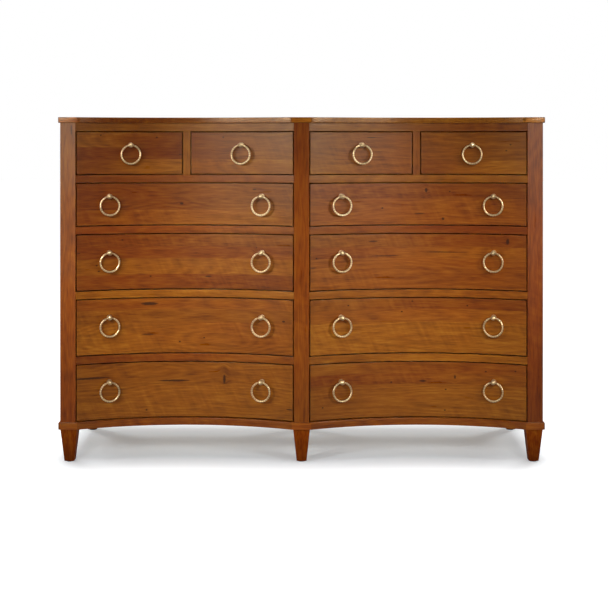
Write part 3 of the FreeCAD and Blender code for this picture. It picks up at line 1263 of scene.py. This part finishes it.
@dataclass
class CasePanels:
    """Boards that close the case between the posts."""

    side_recess: float = 0.003
    side_thickness: float = 0.020
    partition: float = 0.020
    back_thickness: float = 0.008
    bottom: float = 0.019
    side_boards: tuple[Board, ...] = (
        Board(Timber.AMBER, 1.0),
        Board(Timber.RUSSET, 1.2),
        Board(Timber.GOLDEN, 0.9),
        Board(Timber.RUSSET, 1.0),
    )
    back_boards: tuple[Board, ...] = (Board(Timber.GOLDEN, heart=0.12), Board(Timber.AMBER, heart=0.10)) * 3
    inner_boards: tuple[Board, ...] = (Board(Timber.HONEY, heart=0.10), Board(Timber.AMBER, heart=0.09))

    def build(self, shop: Workshop) -> None:
        """Builds and dresses the sides, the back, the partition and the bottom.

        Args:
            shop: makes the pieces.
        """
        low_z, high_z = SIZES.base_top_z, SIZES.case_top_z
        outer = SIZES.half_case - self.side_recess
        inner = outer - self.side_thickness
        front_y, rear_y = SIZES.front_y + SIZES.post, SIZES.back_y - SIZES.post
        for name, sign in SIDES.items():
            ends = sorted((sign * inner, sign * outer))
            bm = plank((ends[0], front_y, low_z), (ends[1], rear_y, high_z))
            shop.show_board(bm, f"{name}_side", f"{name}_side_panel", Fibres.UPRIGHT_SIDE, self.side_boards)
        half = self.partition / 2
        bm = plank((-half, front_y, low_z), (half, SIZES.back_panel_y, high_z))
        lay = Fibres.UPRIGHT_SIDE
        shop.inner_board(bm, "middle_partition", "centre_partition", lay, self.inner_boards)
        far_y = SIZES.back_panel_y + self.back_thickness
        bm = plank((-SIZES.post_inner_x, SIZES.back_panel_y, low_z), (SIZES.post_inner_x, far_y, high_z))
        shop.inner_board(bm, "back_board", "back_panel", Fibres.UPRIGHT_FACE, self.back_boards)
        far_y = SIZES.back_y - SIZES.back_rail
        bm = plank((-inner, SIZES.rail_back_y, low_z - self.bottom), (inner, far_y, low_z))
        shop.inner_board(bm, "case_bottom", "bottom_panel", Fibres.LEVEL_TOP, self.inner_boards)


@dataclass
class BaseFrame:
    """Frame under the case with a rounded upper edge."""

    proud: float = 0.006
    round_width: float = 0.0035
    round_steps: int = 5
    corner_width: float = 0.0045
    corner_steps: int = 4
    side_inner_x: float = 0.784
    # Painted light: the flat faces of the front rail before the posts are made paler.
    painted_light_and_shade: PaintedShadeAndLight = PaintedShadeAndLight(painted_flat_light=1.40)
    front_board: Board = Board(Timber.RUSSET, heart=0.06)
    side_board: Board = Board(Timber.AMBER, heart=0.06)

    def build(self, shop: Workshop) -> None:
        """Builds and dresses the four rails of the frame.

        Args:
            shop: makes the pieces.
        """
        low_z, high_z, back_y = SIZES.base_z, SIZES.base_top_z, SIZES.rail_back_y
        half = SIZES.half_case + self.proud
        line = Serpentine(self.proud)
        bm = SerpentineBoard(line, half, back_y, low_z, high_z).build()
        foremost = line.flat_y + NEAR
        ease(
            bm, self.corner_width, self.corner_steps,
            lambda edge: highest(edge, Y) < foremost and from_middle(edge) > half - NEAR,
        )
        inner = half - self.corner_width
        self._round(bm, lambda edge: highest(edge, Y) < back_y - NEAR or from_middle(edge) > inner)
        shop.show_board(bm, "base_front_rail", "base_frame", line, (self.front_board,), painted_light_and_shade=self.painted_light_and_shade)
        for name, sign in SIDES.items():
            ends = sorted((sign * self.side_inner_x, sign * half))
            bm = plank((ends[0], back_y, low_z), (ends[1], SIZES.back_y, high_z))
            self._round(bm, lambda edge: from_middle(edge) > half - NEAR)
            lay = Fibres.BACKWARD_SIDE
            shop.show_board(bm, f"base_{name}_rail", "base_frame", lay, (self.side_board,))
        far_y = SIZES.back_y - SIZES.back_rail
        bm = plank((-self.side_inner_x, far_y, low_z), (self.side_inner_x, SIZES.back_y, high_z))
        shop.show_board(bm, "base_back_rail", "base_frame", Fibres.LEVEL_FACE, (self.side_board,))

    def _round(self, bm: BMesh, wanted: Wanted) -> None:
        """Rounds the wanted ones of the upper corners."""
        upper = SIZES.base_top_z - NEAR
        ease(bm, self.round_width, self.round_steps, lambda edge: wanted(edge) and lowest(edge, Z) > upper)


@dataclass
class Feet:
    """Six tapered feet on round glides."""

    glide_height: float = 0.003
    glide_radius: float = 0.0135
    glide_steps: int = 40
    glide_ease: float = 0.0006
    top: float = 0.056
    bottom: float = 0.033
    inset: float = 0.0005
    ease_width: float = 0.001
    board: Board = Board(Timber.BRICK, far=Timber.FLAME, heart=0.05)

    def build(self, shop: Workshop) -> None:
        """Builds and dresses the feet and their glides.

        Args:
            shop: makes the pieces.
        """
        reach = self.inset + self.top / 2
        side_x = SIZES.half_case - reach
        for row, y in (("front", SIZES.front_y + reach), ("rear", SIZES.back_y - reach)):
            for side, x in (("left", -side_x), ("middle", 0.0), ("right", side_x)):
                self._foot(shop, f"{row}_{side}", x, y)

    def _foot(self, shop: Workshop, name: str, x: float, y: float) -> None:
        """Builds one foot and its glide.

        Args:
            shop: makes the pieces.
            name: which foot it is.
            x: its middle across the case.
            y: its middle from front to back.
        """
        half, waist_z = self.top / 2, SIZES.base_z / 2
        bm = plank((x - half, y - half, self.glide_height), (x + half, y + half, SIZES.base_z))
        toe = [vert for vert in bm.verts if vert.co.z < waist_z]
        taper = self.bottom / self.top
        bmesh.ops.scale(bm, vec=(taper, taper, 1), space=Matrix.Translation((-x, -y, 0)), verts=toe)
        ease(bm, self.ease_width, wanted=lambda edge: lowest(edge, Z) < waist_z)
        lay = Fibres.UPRIGHT_FACE
        shop.show_board(bm, f"{name}_foot", "tapered_feet", lay, (self.board,), rub=Rub.DULL)
        pad = bmesh.new()
        bmesh.ops.create_cone(
            pad, cap_ends=True, segments=self.glide_steps, depth=self.glide_height,
            radius1=self.glide_radius, radius2=self.glide_radius,
            matrix=Matrix.Translation((x, y, self.glide_height / 2)),
        )
        ease(pad, self.glide_ease)
        shop.piece(pad, f"{name}_glide", "case", shop.finishes.glide, "floor_glides")


# Painted shade on the edge faces along the gaps round drawer fronts, rails and dividers.
GAP_PAINTED_SHADE = PaintedShadeAndLight(edges=0.12)


@dataclass
class FrontRails:
    """Swept rails over each row of drawers, and the short dividers of the top row.

    rails holds the colour lots of each rail's left and right ends, the lowest rail first.
    """

    depth: float = 0.160
    ease_width: float = 0.0010
    back_margin: float = 0.02
    heart: float = 0.06
    rails: dict[str, tuple[tuple[Timber, Timber], ...]] = field(
        default_factory=lambda: {
            "left": (
                (Timber.UMBER, Timber.ROSE),
                (Timber.HONEY, Timber.STRAW),
                (Timber.BRICK, Timber.ROSE),
                (Timber.UMBER, Timber.ROSE),
                (Timber.TAWNY, Timber.STRAW),
            ),
            "right": (
                (Timber.GOLDEN, Timber.STRAW),
                (Timber.HONEY, Timber.AMBER),
                (Timber.RUSSET, Timber.BRICK),
                (Timber.STRAW, Timber.GOLDEN),
                (Timber.STRAW, Timber.RUSSET),
            ),
        }
    )
    dividers: dict[str, Timber] = field(
        default_factory=lambda: {"left": Timber.HONEY, "right": Timber.ROSE}
    )

    def build(self, shop: Workshop) -> None:
        """Builds and dresses the rails, the lowest first, and the dividers.

        Args:
            shop: makes the pieces.
        """
        top_row = SIZES.top_row
        for side, sign in SIDES.items():
            sweep = SIZES.bay(sign)
            for row, (near, far) in enumerate(self.rails[side]):
                high_z = SIZES.row_floor(row + 1) if row < top_row else SIZES.case_top_z
                bm = self._blank(sweep, SIZES.bay_half, SIZES.row_top(row), high_z)
                name = f"{side}_rail_{len(SIZES.rows) - row}"
                boards = (Board(near, far=far, heart=self.heart),)
                # Rails and dividers get painted shade on their edge faces along the gaps.
                shop.show_board(bm, name, "drawer_rails", sweep, boards, painted_light_and_shade=GAP_PAINTED_SHADE)
            bm = self._blank(sweep, SIZES.divider / 2, SIZES.row_floor(top_row), SIZES.row_top(top_row))
            name, node, lay = f"{side}_divider", "small_drawer_dividers", Fibres.UPRIGHT_FACE
            boards = (Board(self.dividers[side], heart=self.heart),)
            shop.show_board(bm, name, node, lay, boards, painted_light_and_shade=GAP_PAINTED_SHADE)

    def _blank(self, sweep: Sweep, half: float, low_z: float, high_z: float) -> BMesh:
        """Shapes a board with the bay's arc in front, a straight back and eased edges.

        Args:
            sweep: the bay's arc.
            half: half the board's width.
            low_z: its bottom.
            high_z: its top.

        Returns:
            The board.
        """
        ends = sweep.middle_x - half, sweep.middle_x + half
        bm = SweptBoard(sweep, *ends, low_z, high_z, depth=self.depth, far_y=SIZES.rail_back_y).build()
        ease(bm, self.ease_width, wanted=lambda edge: highest(edge, Y) < SIZES.rail_back_y - self.back_margin)
        return bm


@dataclass
class Drawer:
    """One drawer: a swept front, a plain box behind it, turned posts and ring pulls.

    rise is the height of its pulls over the middle of its opening, and pulls are their places from the middle
    of the bay.
    """

    name: str
    sign: int
    row: int
    x0: float
    x1: float
    rise: float
    pulls: tuple[float, ...]
    boards: tuple[Board, ...]
    thickness: float = 0.022
    ease_width: float = 0.0011
    side: float = 0.012
    side_drop: float = 0.009
    side_ease: float = 0.001
    bottom: float = 0.006
    bottom_rise: float = 0.009
    bottom_reach: float = 0.60
    bottom_steps: int = 48
    clearance: float = 0.0002
    seam: float = 0.00006
    back_y: float = 0.228
    side_board: Board = Board(Timber.HONEY, heart=0.09)
    bottom_board: Board = Board(Timber.AMBER, heart=0.11)
    back_board: Board = Board(Timber.HONEY, heart=0.08)

    @property
    def floor(self) -> float:
        """Bottom of its opening."""
        return SIZES.row_floor(self.row)

    @property
    def height(self) -> float:
        """Height of its opening."""
        return SIZES.rows[self.row]

    @property
    def sweep(self) -> Sweep:
        """Arc of its bay."""
        return SIZES.bay(self.sign)

    def build(self, shop: Workshop) -> None:
        """Builds and dresses the drawer.

        Args:
            shop: makes the pieces.
        """
        self._front(shop)
        self._box(shop)
        shop.dress(f"{self.name}_pull_posts", shop.finishes.brass)
        seat_z = self.floor + self.height / 2 + self.rise
        for number, dx in enumerate(self.pulls, 1):
            RingPull(f"{self.name}_ring_{number}", self.sweep, self.sweep.middle_x + dx, seat_z).build(shop)

    def _front(self, shop: Workshop) -> None:
        """Builds the glued-up front with eased edges.

        Args:
            shop: makes the piece.
        """
        low_z, high_z = self.floor + SIZES.gap, self.floor + self.height - SIZES.gap
        bm = SweptBoard(self.sweep, self.x0, self.x1, low_z, high_z, depth=self.thickness).build()
        ease(bm, self.ease_width)
        score(bm, glue_lines(self.boards, low_z, high_z)[1:-1])
        name, box = f"{self.name}_front", f"{self.name}_box"
        # The front's edge faces along the gaps get painted shade.
        shop.show_board(bm, name, box, self.sweep, self.boards, self.name, GAP_PAINTED_SHADE)

    def _box(self, shop: Workshop) -> None:
        """Builds the sides, the bottom and the back behind the front.

        Args:
            shop: makes the pieces.
        """
        low_z = self.floor + self.clearance
        high_z = self.floor + self.height - self.side_drop
        bottom_z = low_z + self.bottom_rise
        back_z = bottom_z + self.bottom
        behind = self.thickness + self.seam
        inner = self.x0 + self.side, self.x1 - self.side
        box = f"{self.name}_box"
        for side, ends in (("left", (self.x0, inner[0])), ("right", (inner[1], self.x1))):
            bm = plank((ends[0], SIZES.front_y, low_z), (ends[1], self.back_y, high_z))
            seats = [self.sweep.point_at(x, behind, 0) for x in ends]
            run = seats[1] - seats[0]
            trim(bm, seats[0], (run.y, -run.x, 0))
            ease(bm, self.side_ease, wanted=lambda edge: lowest(edge, Z) > high_z - NEAR)
            name, lay = f"{self.name}_{side}_side", Fibres.BACKWARD_SIDE
            shop.inner_board(bm, name, box, lay, (self.side_board,), self.name)
        bm = SweptBoard(
            self.sweep, *inner, bottom_z, back_z, behind, self.bottom_reach, self.back_y, self.bottom_steps
        ).build()
        lay = Fibres.LEVEL_TOP
        shop.inner_board(bm, f"{self.name}_bottom", box, lay, (self.bottom_board,), self.name)
        bm = plank((inner[0], self.back_y - self.side, back_z), (inner[1], self.back_y, high_z))
        ease(bm, self.side_ease, wanted=lambda edge: lowest(edge, Z) > high_z - NEAR)
        lay = Fibres.LEVEL_FACE
        shop.inner_board(bm, f"{self.name}_back", box, lay, (self.back_board,), self.name)


@dataclass
class RingPull:
    """Hammered ring that hangs from the ball of a turned post.

    swell is how much thicker its wire is away from the ball, and swell_turn the angles from the ball between
    which it thickens. waist is its thickness between two beads, by a share that varies within depth_span.
    """

    name: str
    sweep: Sweep
    seat_x: float
    seat_z: float
    reach: float = 0.018
    radius: float = 0.0316
    wire: float = 0.0026
    section: int = 14
    beads: int = 26
    bead_steps: int = 4
    waist: float = 0.90
    depth_span: tuple[float, float] = (0.6, 1.3)
    swell: float = 1.30
    swell_turn: tuple[float, float] = (0.34, 0.62)

    def build(self, shop: Workshop) -> None:
        """Spins the wire round the ring's middle, then draws in its waists.

        Args:
            shop: makes the piece.
        """
        normal = self.sweep.normal(self.seat_x)
        pivot = self.sweep.point_at(self.seat_x, 0.0, self.seat_z) + normal * self.reach
        centre = pivot - UP * self.radius
        turned = Matrix((UP, normal, UP.cross(normal))).transposed().to_4x4()
        placed = Matrix.Translation(pivot) @ turned
        bm = bmesh.new()
        bmesh.ops.create_circle(bm, segments=self.section, radius=self.wire, matrix=placed)
        bmesh.ops.spin(
            bm, geom=bm.verts[:] + bm.edges[:], cent=centre, axis=normal, angle=math.tau,
            steps=self.beads * self.bead_steps, use_merge=True,
        )
        bmesh.ops.remove_doubles(bm, verts=bm.verts, dist=TOUCH)
        bmesh.ops.recalc_face_normals(bm, faces=bm.faces)
        self._hammer(bm, centre, normal)
        name = self.name.replace("_ring", "_pull_ring")
        shop.piece(bm, name, self.name, shop.finishes.brass, self.name)

    def _hammer(self, bm: BMesh, centre: Vector, normal: Vector) -> None:
        """Thins the wire between its beads and swells it away from the ball.

        Args:
            bm: the plain ring.
            centre: its middle.
            normal: its axis.
        """
        draw = random.Random(self.name)
        depths = [1 - draw.uniform(*self.depth_span) * (1 - self.waist) for bead in range(self.beads)]
        across = normal.cross(UP)
        start, end = self.swell_turn
        bead = bm.verts.layers.float.new("bead")
        for vert in bm.verts:
            arm = vert.co - centre
            turn = math.atan2(arm.dot(across), arm.z) % math.tau
            step = turn / math.tau * self.beads
            near = depths[int(step) % self.beads]
            wave = math.cos(math.tau * step) / 2
            vert[bead], hollow = wave, 0.5 - wave
            away = min(max((min(turn, math.tau - turn) - start) / (end - start), 0.0), 1.0)
            thin = (1 + (near - 1) * hollow) * (1 + (self.swell - 1) * smooth(away))
            middle = centre + (arm - normal * arm.dot(normal)).normalized() * self.radius
            vert.co = middle + (vert.co - middle) * thin


@dataclass
class DrawerSet:
    """All twelve drawers, with the boards that each front is glued up from, from its top down."""

    pull_inset: float = 0.1065
    pull_rise: float = 0.027
    deep_pull_rise: float = 0.032
    deep_rows: int = 3
    small_fronts: tuple[tuple[Board, ...], ...] = (
        (
            Board(Timber.GOLDEN, 0.36, Timber.CHESTNUT, knots=(Knot(0.228, 0.07), Knot(0.757, 0.12))),
            Board(Timber.UMBER, 0.29, knots=(Knot(0.985, 0.53, 0.014, 0.003),)),
            Board(Timber.CHESTNUT, 0.35, Timber.HONEY),
        ),
        (
            Board(Timber.CHESTNUT, 0.65, Timber.HONEY, knots=(Knot(0.31, 0.12),)),
            Board(Timber.AMBER, 0.35, Timber.STRAW),
        ),
        (
            Board(Timber.GOLDEN, 0.68, Timber.ROSE, knots=(Knot(0.61, 0.13, 0.030, 0.003),)),
            Board(Timber.STRAW, 0.32, Timber.ROSE),
        ),
        (
            Board(Timber.AMBER, 0.68, Timber.TAWNY, knots=(Knot(0.81, 0.44), Knot(0.85, 0.30))),
            Board(Timber.CHESTNUT, 0.32, Timber.STRAW, aside=0.02),
        ),
    )
    wide_fronts: dict[str, tuple[Board, ...]] = field(
        default_factory=lambda: {
            "row_2_left": (
                Board(Timber.UMBER, 0.64, Timber.TAWNY, 0.06, knots=(
                    Knot(0.477, 0.49, 0.011, 0.007), Knot(0.815, 0.14, 0.012, 0.004))),
                Board(Timber.CHESTNUT, 0.36, Timber.HONEY, 0.05),
            ),
            "row_2_right": (
                Board(Timber.RUSSET, 0.37, Timber.CHESTNUT, knots=(
                    Knot(0.545, 0.17, 0.008, 0.014), Knot(0.652, 0.20))),
                Board(Timber.ROSE, 0.63, Timber.RUSSET, 0.055, 0.01, (
                    Knot(0.343, 0.60), Knot(0.514, 0.74, 0.034, 0.0035), Knot(0.622, 0.86, 0.008, 0.008))),
            ),
            "row_3_left": (
                Board(Timber.UMBER, 0.225, Timber.TAWNY, knots=(Knot(0.207, 0.10),)),
                Board(Timber.UMBER, 0.215, Timber.RUSSET, knots=(
                    Knot(0.435, 0.205), Knot(0.008, 0.325, 0.012, 0.003), Knot(0.825, 0.19, 0.006, 0.020))),
                Board(Timber.TAWNY, 0.29, Timber.HONEY, knots=(Knot(0.09, 0.56), Knot(0.10, 0.66))),
                Board(Timber.CHESTNUT, 0.27, knots=(Knot(0.599, 0.775, 0.020, 0.004), Knot(0.335, 0.77))),
            ),
            "row_3_right": (
                Board(Timber.TAWNY, 0.23, Timber.CHESTNUT, knots=(
                    Knot(0.915, 0.12, 0.010, 0.018), Knot(0.30, 0.13, 0.030, 0.004))),
                Board(Timber.RUSSET, 0.21, Timber.AMBER, knots=(
                    Knot(0.030, 0.42), Knot(0.35, 0.40, 0.10, 0.003), Knot(0.62, 0.33, 0.13, 0.003))),
                Board(Timber.AMBER, 0.56, Timber.RUSSET, knots=(Knot(0.012, 0.59, 0.022, 0.003),)),
            ),
            "row_4_left": (
                Board(Timber.RUSSET, 0.20, Timber.AMBER, knots=(Knot(0.33, 0.10, 0.05, 0.010),)),
                Board(Timber.TAWNY, 0.24, knots=(Knot(0.955, 0.39, 0.010, 0.006),)),
                Board(Timber.HONEY, 0.56, Timber.AMBER, knots=(
                    Knot(0.322, 0.66, 0.036, 0.0035), Knot(0.58, 0.73), Knot(0.468, 0.80))),
            ),
            "row_4_right": (
                Board(Timber.TAWNY, 0.20, Timber.CHESTNUT, knots=(
                    Knot(0.183, 0.12), Knot(0.481, 0.06), Knot(0.732, 0.13))),
                Board(Timber.AMBER, 0.23, knots=(Knot(0.433, 0.25),)),
                Board(Timber.STRAW, 0.57, Timber.HONEY),
            ),
            "row_5_left": (
                Board(Timber.TAWNY, 0.40, Timber.GOLDEN, 0.05, knots=(
                    Knot(0.06, 0.25, 0.12, 0.006), Knot(0.44, 0.34, 0.09, 0.006),
                    Knot(0.674, 0.31, 0.008, 0.026))),
                Board(Timber.GOLDEN, 0.60, Timber.HONEY, 0.05, knots=(
                    Knot(0.985, 0.80, 0.022, 0.004), Knot(0.317, 0.87))),
            ),
            "row_5_right": (
                Board(Timber.TAWNY, 0.20, Timber.RUSSET, knots=(Knot(0.816, 0.15), Knot(0.95, 0.12))),
                Board(Timber.CHESTNUT, 0.20, Timber.AMBER, knots=(
                    Knot(0.53, 0.35, 0.022, 0.006), Knot(0.384, 0.37), Knot(0.676, 0.27, 0.006, 0.012))),
                Board(Timber.TAWNY, 0.60, Timber.HONEY, 0.05, knots=(
                    Knot(0.634, 0.50), Knot(0.63, 0.88), Knot(0.06, 0.78))),
            ),
        }
    )

    def drawers(self) -> Iterator[Drawer]:
        """Lists the drawers, the top row first.

        Returns:
            The drawers, one after the other.
        """
        half, inner = SIZES.bay_half, SIZES.divider / 2
        pairs = product(SIDES.values(), repeat=2)
        for number, ((sign, half_sign), boards) in enumerate(zip(pairs, self.small_fronts), 1):
            middle = sign * SIZES.bay_centre
            reaches = inner + SIZES.gap, half - SIZES.gap
            ends = sorted(middle + half_sign * reach for reach in reaches)
            pulls = (half_sign * (inner + half) / 2,)
            name = f"small_drawer_{number}"
            yield Drawer(name, sign, SIZES.top_row, *ends, self.pull_rise, pulls, boards)
        reach = half - self.pull_inset
        for row in reversed(range(SIZES.top_row)):
            for side, sign in SIDES.items():
                middle = sign * SIZES.bay_centre
                ends = middle - half + SIZES.gap, middle + half - SIZES.gap
                title = f"row_{len(SIZES.rows) - row}_{side}"
                rise = self.deep_pull_rise if row < self.deep_rows else self.pull_rise
                boards = self.wide_fronts[title]
                yield Drawer(f"{title}_drawer", sign, row, *ends, rise, (-reach, reach), boards)

    def build(self, shop: Workshop) -> None:
        """Builds and dresses every drawer."""
        for drawer in self.drawers():
            drawer.build(shop)


@dataclass(frozen=True)
class Lamp:
    """Soft rectangular light that hangs at a place and faces its aim.

    powers are in watts, for the left and the right one of a pair or for one alone. The place and aim of a
    pair are those of the right one. spread is how wide its grid lets the light spread, in degrees, and
    gloss_only lamps show in the gloss alone.
    """

    name: str
    place: Place
    aim: Place
    size: tuple[float, float]
    powers: tuple[float, ...]
    spread: float = 180.0
    gloss_only: bool = False

    def hang(self, name: str, power: float, sign: int = 1) -> None:
        """Adds the light to the scene.

        Args:
            name: its name.
            power: its power in watts.
            sign: its side, left (-1) or right (1).
        """
        mirror = Matrix.Diagonal((sign, 1, 1))
        place, aim = mirror @ Vector(self.place), mirror @ Vector(self.aim)
        data = bpy.data.lights.new(name, "AREA")
        data.shape, data.energy, data.spread = "RECTANGLE", power, math.radians(self.spread)
        data.size, data.size_y = self.size
        light = bpy.data.objects.new(name, data)
        light.location = place
        light.rotation_euler = (aim - place).to_track_quat("-Z", "Y").to_euler()
        light.visible_diffuse = not self.gloss_only
        bpy.context.scene.collection.objects.link(light)


@dataclass
class Studio:
    """Pale floor, white background, four pairs of soft lights, two lights overhead and the camera.

    shade_half and shade_fade are half the size of the floor round the case where the glow is dimmed and how
    far that dimming fades out, and floor_glow is the glow there and far from it. The dimmed glow is a painted
    shadow that adds to the lamps' real shadow.
    """

    camera_y: float = -4.379
    camera_z: float = 1.067
    lens: float = 73.09
    sensor: float = 36.0
    shift: tuple[float, float] = (0.004, -0.264)
    ambient: float = 0.04
    gloss_share: float = 0.14
    floor_size: float = 60.0
    floor_colour: Colour = (0.70, 0.75, 0.79, 1.0)
    floor_glow: tuple[float, float] = (0.25, 1.0)
    shade_half: Place = (0.75, 0.15, 0.0)
    shade_fade: Place = (0.14, 0.36, 1.0)
    pairs: tuple[Lamp, ...] = (
        Lamp("side", (2.25, -2.4, 1.55), (0.09, -0.20, 0.54), (0.14, 0.80), (2.00, 1.90), 32.0),
        Lamp("front", (1.20, -2.6, 1.50), (0.62, -0.22, 0.62), (0.14, 0.80), (1.70, 1.52), 32.0),
        Lamp("gleam", (1.62, -2.55, 1.45), (0.50, -0.20, 1.25), (1.40, 0.80), (2.4, 1.6), 70.0, True),
        Lamp("back", (2.90, 2.50, 1.70), (0.55, 0.15, 0.58), (1.00, 1.20), (8.0, 8.0), 60.0),
    )
    singles: tuple[Lamp, ...] = (
        Lamp("overhead", (0.0, 0.0, 6.0), (0.0, 0.0, 0.0), (3.0, 3.0), (90.0,)),
        Lamp("board", (0.0, 0.08, 3.40), (0.0, 0.08, 0.0), (1.30, 0.25), (1.2,), 40.0),
    )

    def build(self) -> None:
        """Sets up everything round the object."""
        bpy.context.scene.view_settings.view_transform = "Standard"
        self._camera()
        self._world()
        self._floor()
        for number, (side, sign) in enumerate(SIDES.items()):
            for lamp in self.pairs:
                lamp.hang(f"{side}_{lamp.name}_light", lamp.powers[number], sign)
        for lamp in self.singles:
            lamp.hang(f"{lamp.name}_light", *lamp.powers)

    def _camera(self) -> None:
        """Puts a level camera before the middle of the front."""
        data = bpy.data.cameras.new("camera")
        data.lens, data.sensor_width, data.sensor_fit = self.lens, self.sensor, "HORIZONTAL"
        data.shift_x, data.shift_y = self.shift
        camera = bpy.data.objects.new("camera", data)
        camera.location = (0, self.camera_y, self.camera_z)
        camera.rotation_euler = (math.pi / 2, 0, 0)
        bpy.context.scene.collection.objects.link(camera)
        bpy.context.scene.camera = camera

    def _seen(self, mixer: Mixer) -> NodeSocket:
        """Tells where the background itself shows.

        Args:
            mixer: nodes of the floor or of the world.

        Returns:
            1 in plain sight or through glass, less in gloss, and 0 for other light.
        """
        path = mixer.node("ShaderNodeLightPath").outputs
        gloss = mixer.math("MULTIPLY", path["Is Glossy Ray"], self.gloss_share)
        seen = mixer.math("MAXIMUM", path["Is Camera Ray"], gloss)
        return mixer.math("MAXIMUM", seen, path["Is Transmission Ray"])

    def _world(self) -> None:
        """Makes the world white where it is seen, and a soft grey light elsewhere."""
        world = bpy.data.worlds.new("studio")
        bpy.context.scene.world = world
        world.use_nodes = True
        mixer = Mixer(world.node_tree)
        level = mixer.total(self.ambient, (self._seen(mixer), 1 - self.ambient))
        mixer.fill(mixer.tree.nodes["Background"], Color=(1, 1, 1, 1), Strength=level)

    def _floor(self) -> None:
        """Lays a pale floor that keeps the lamps' shadow, darkened round the case by a painted shadow, and is
        white elsewhere.
        """
        bm = bmesh.new()
        bmesh.ops.create_grid(bm, x_segments=1, y_segments=1, size=self.floor_size / 2)
        mesh = bpy.data.meshes.new("floor")
        bm.to_mesh(mesh)
        bm.free()
        mesh.materials.append(self._floor_finish())
        floor = bpy.data.objects.new("floor", mesh)
        bpy.context.scene.collection.objects.link(floor)

    def _floor_finish(self) -> Material:
        """Makes the floor's finish, matte with a glow that fades out round the case, which paints a shadow
        there over the real one.

        Returns:
            The material.
        """
        material = new_material("pale_floor")
        mixer = Mixer(material.node_tree)
        mixer.tree.nodes.clear()
        away = mixer.vector_math("ABSOLUTE", mixer.place())
        past = mixer.vector_math("SUBTRACT", away, self.shade_half)
        outside = mixer.vector_math("MAXIMUM", past, (0, 0, 0))
        shares = mixer.vector_math("DIVIDE", outside, self.shade_fade)
        far = mixer.ease(mixer.vector_math("LENGTH", shares, result="Value"), 0.0, 1.0)
        # The low glow round the case is a painted shadow.
        low, high = self.floor_glow
        level = mixer.math("MULTIPLY", self._seen(mixer), mixer.total(low, (far, high - low)))
        matte = mixer.fill(mixer.node("ShaderNodeBsdfDiffuse"), Color=self.floor_colour)
        glow = mixer.fill(mixer.node("ShaderNodeEmission"), Strength=level)
        both = mixer.feed(mixer.node("ShaderNodeAddShader"), matte.outputs[0], glow.outputs[0])
        mixer.fill(mixer.node("ShaderNodeOutputMaterial"), Surface=both.outputs[0])
        return material


def main() -> None:
    """Builds and dresses the whole object, then the studio round it."""
    logging.basicConfig(level=logging.INFO, format="%(name)s: %(message)s")
    shop = Workshop(Finishes())
    for assembly in (TopBoard(), Posts(), CasePanels(), BaseFrame(), Feet(), FrontRails(), DrawerSet()):
        assembly.build(shop)
    shop.dress("drawer_runners", shop.finishes.runner_wood)
    Studio().build()


if __name__ == "__main__":
    main()
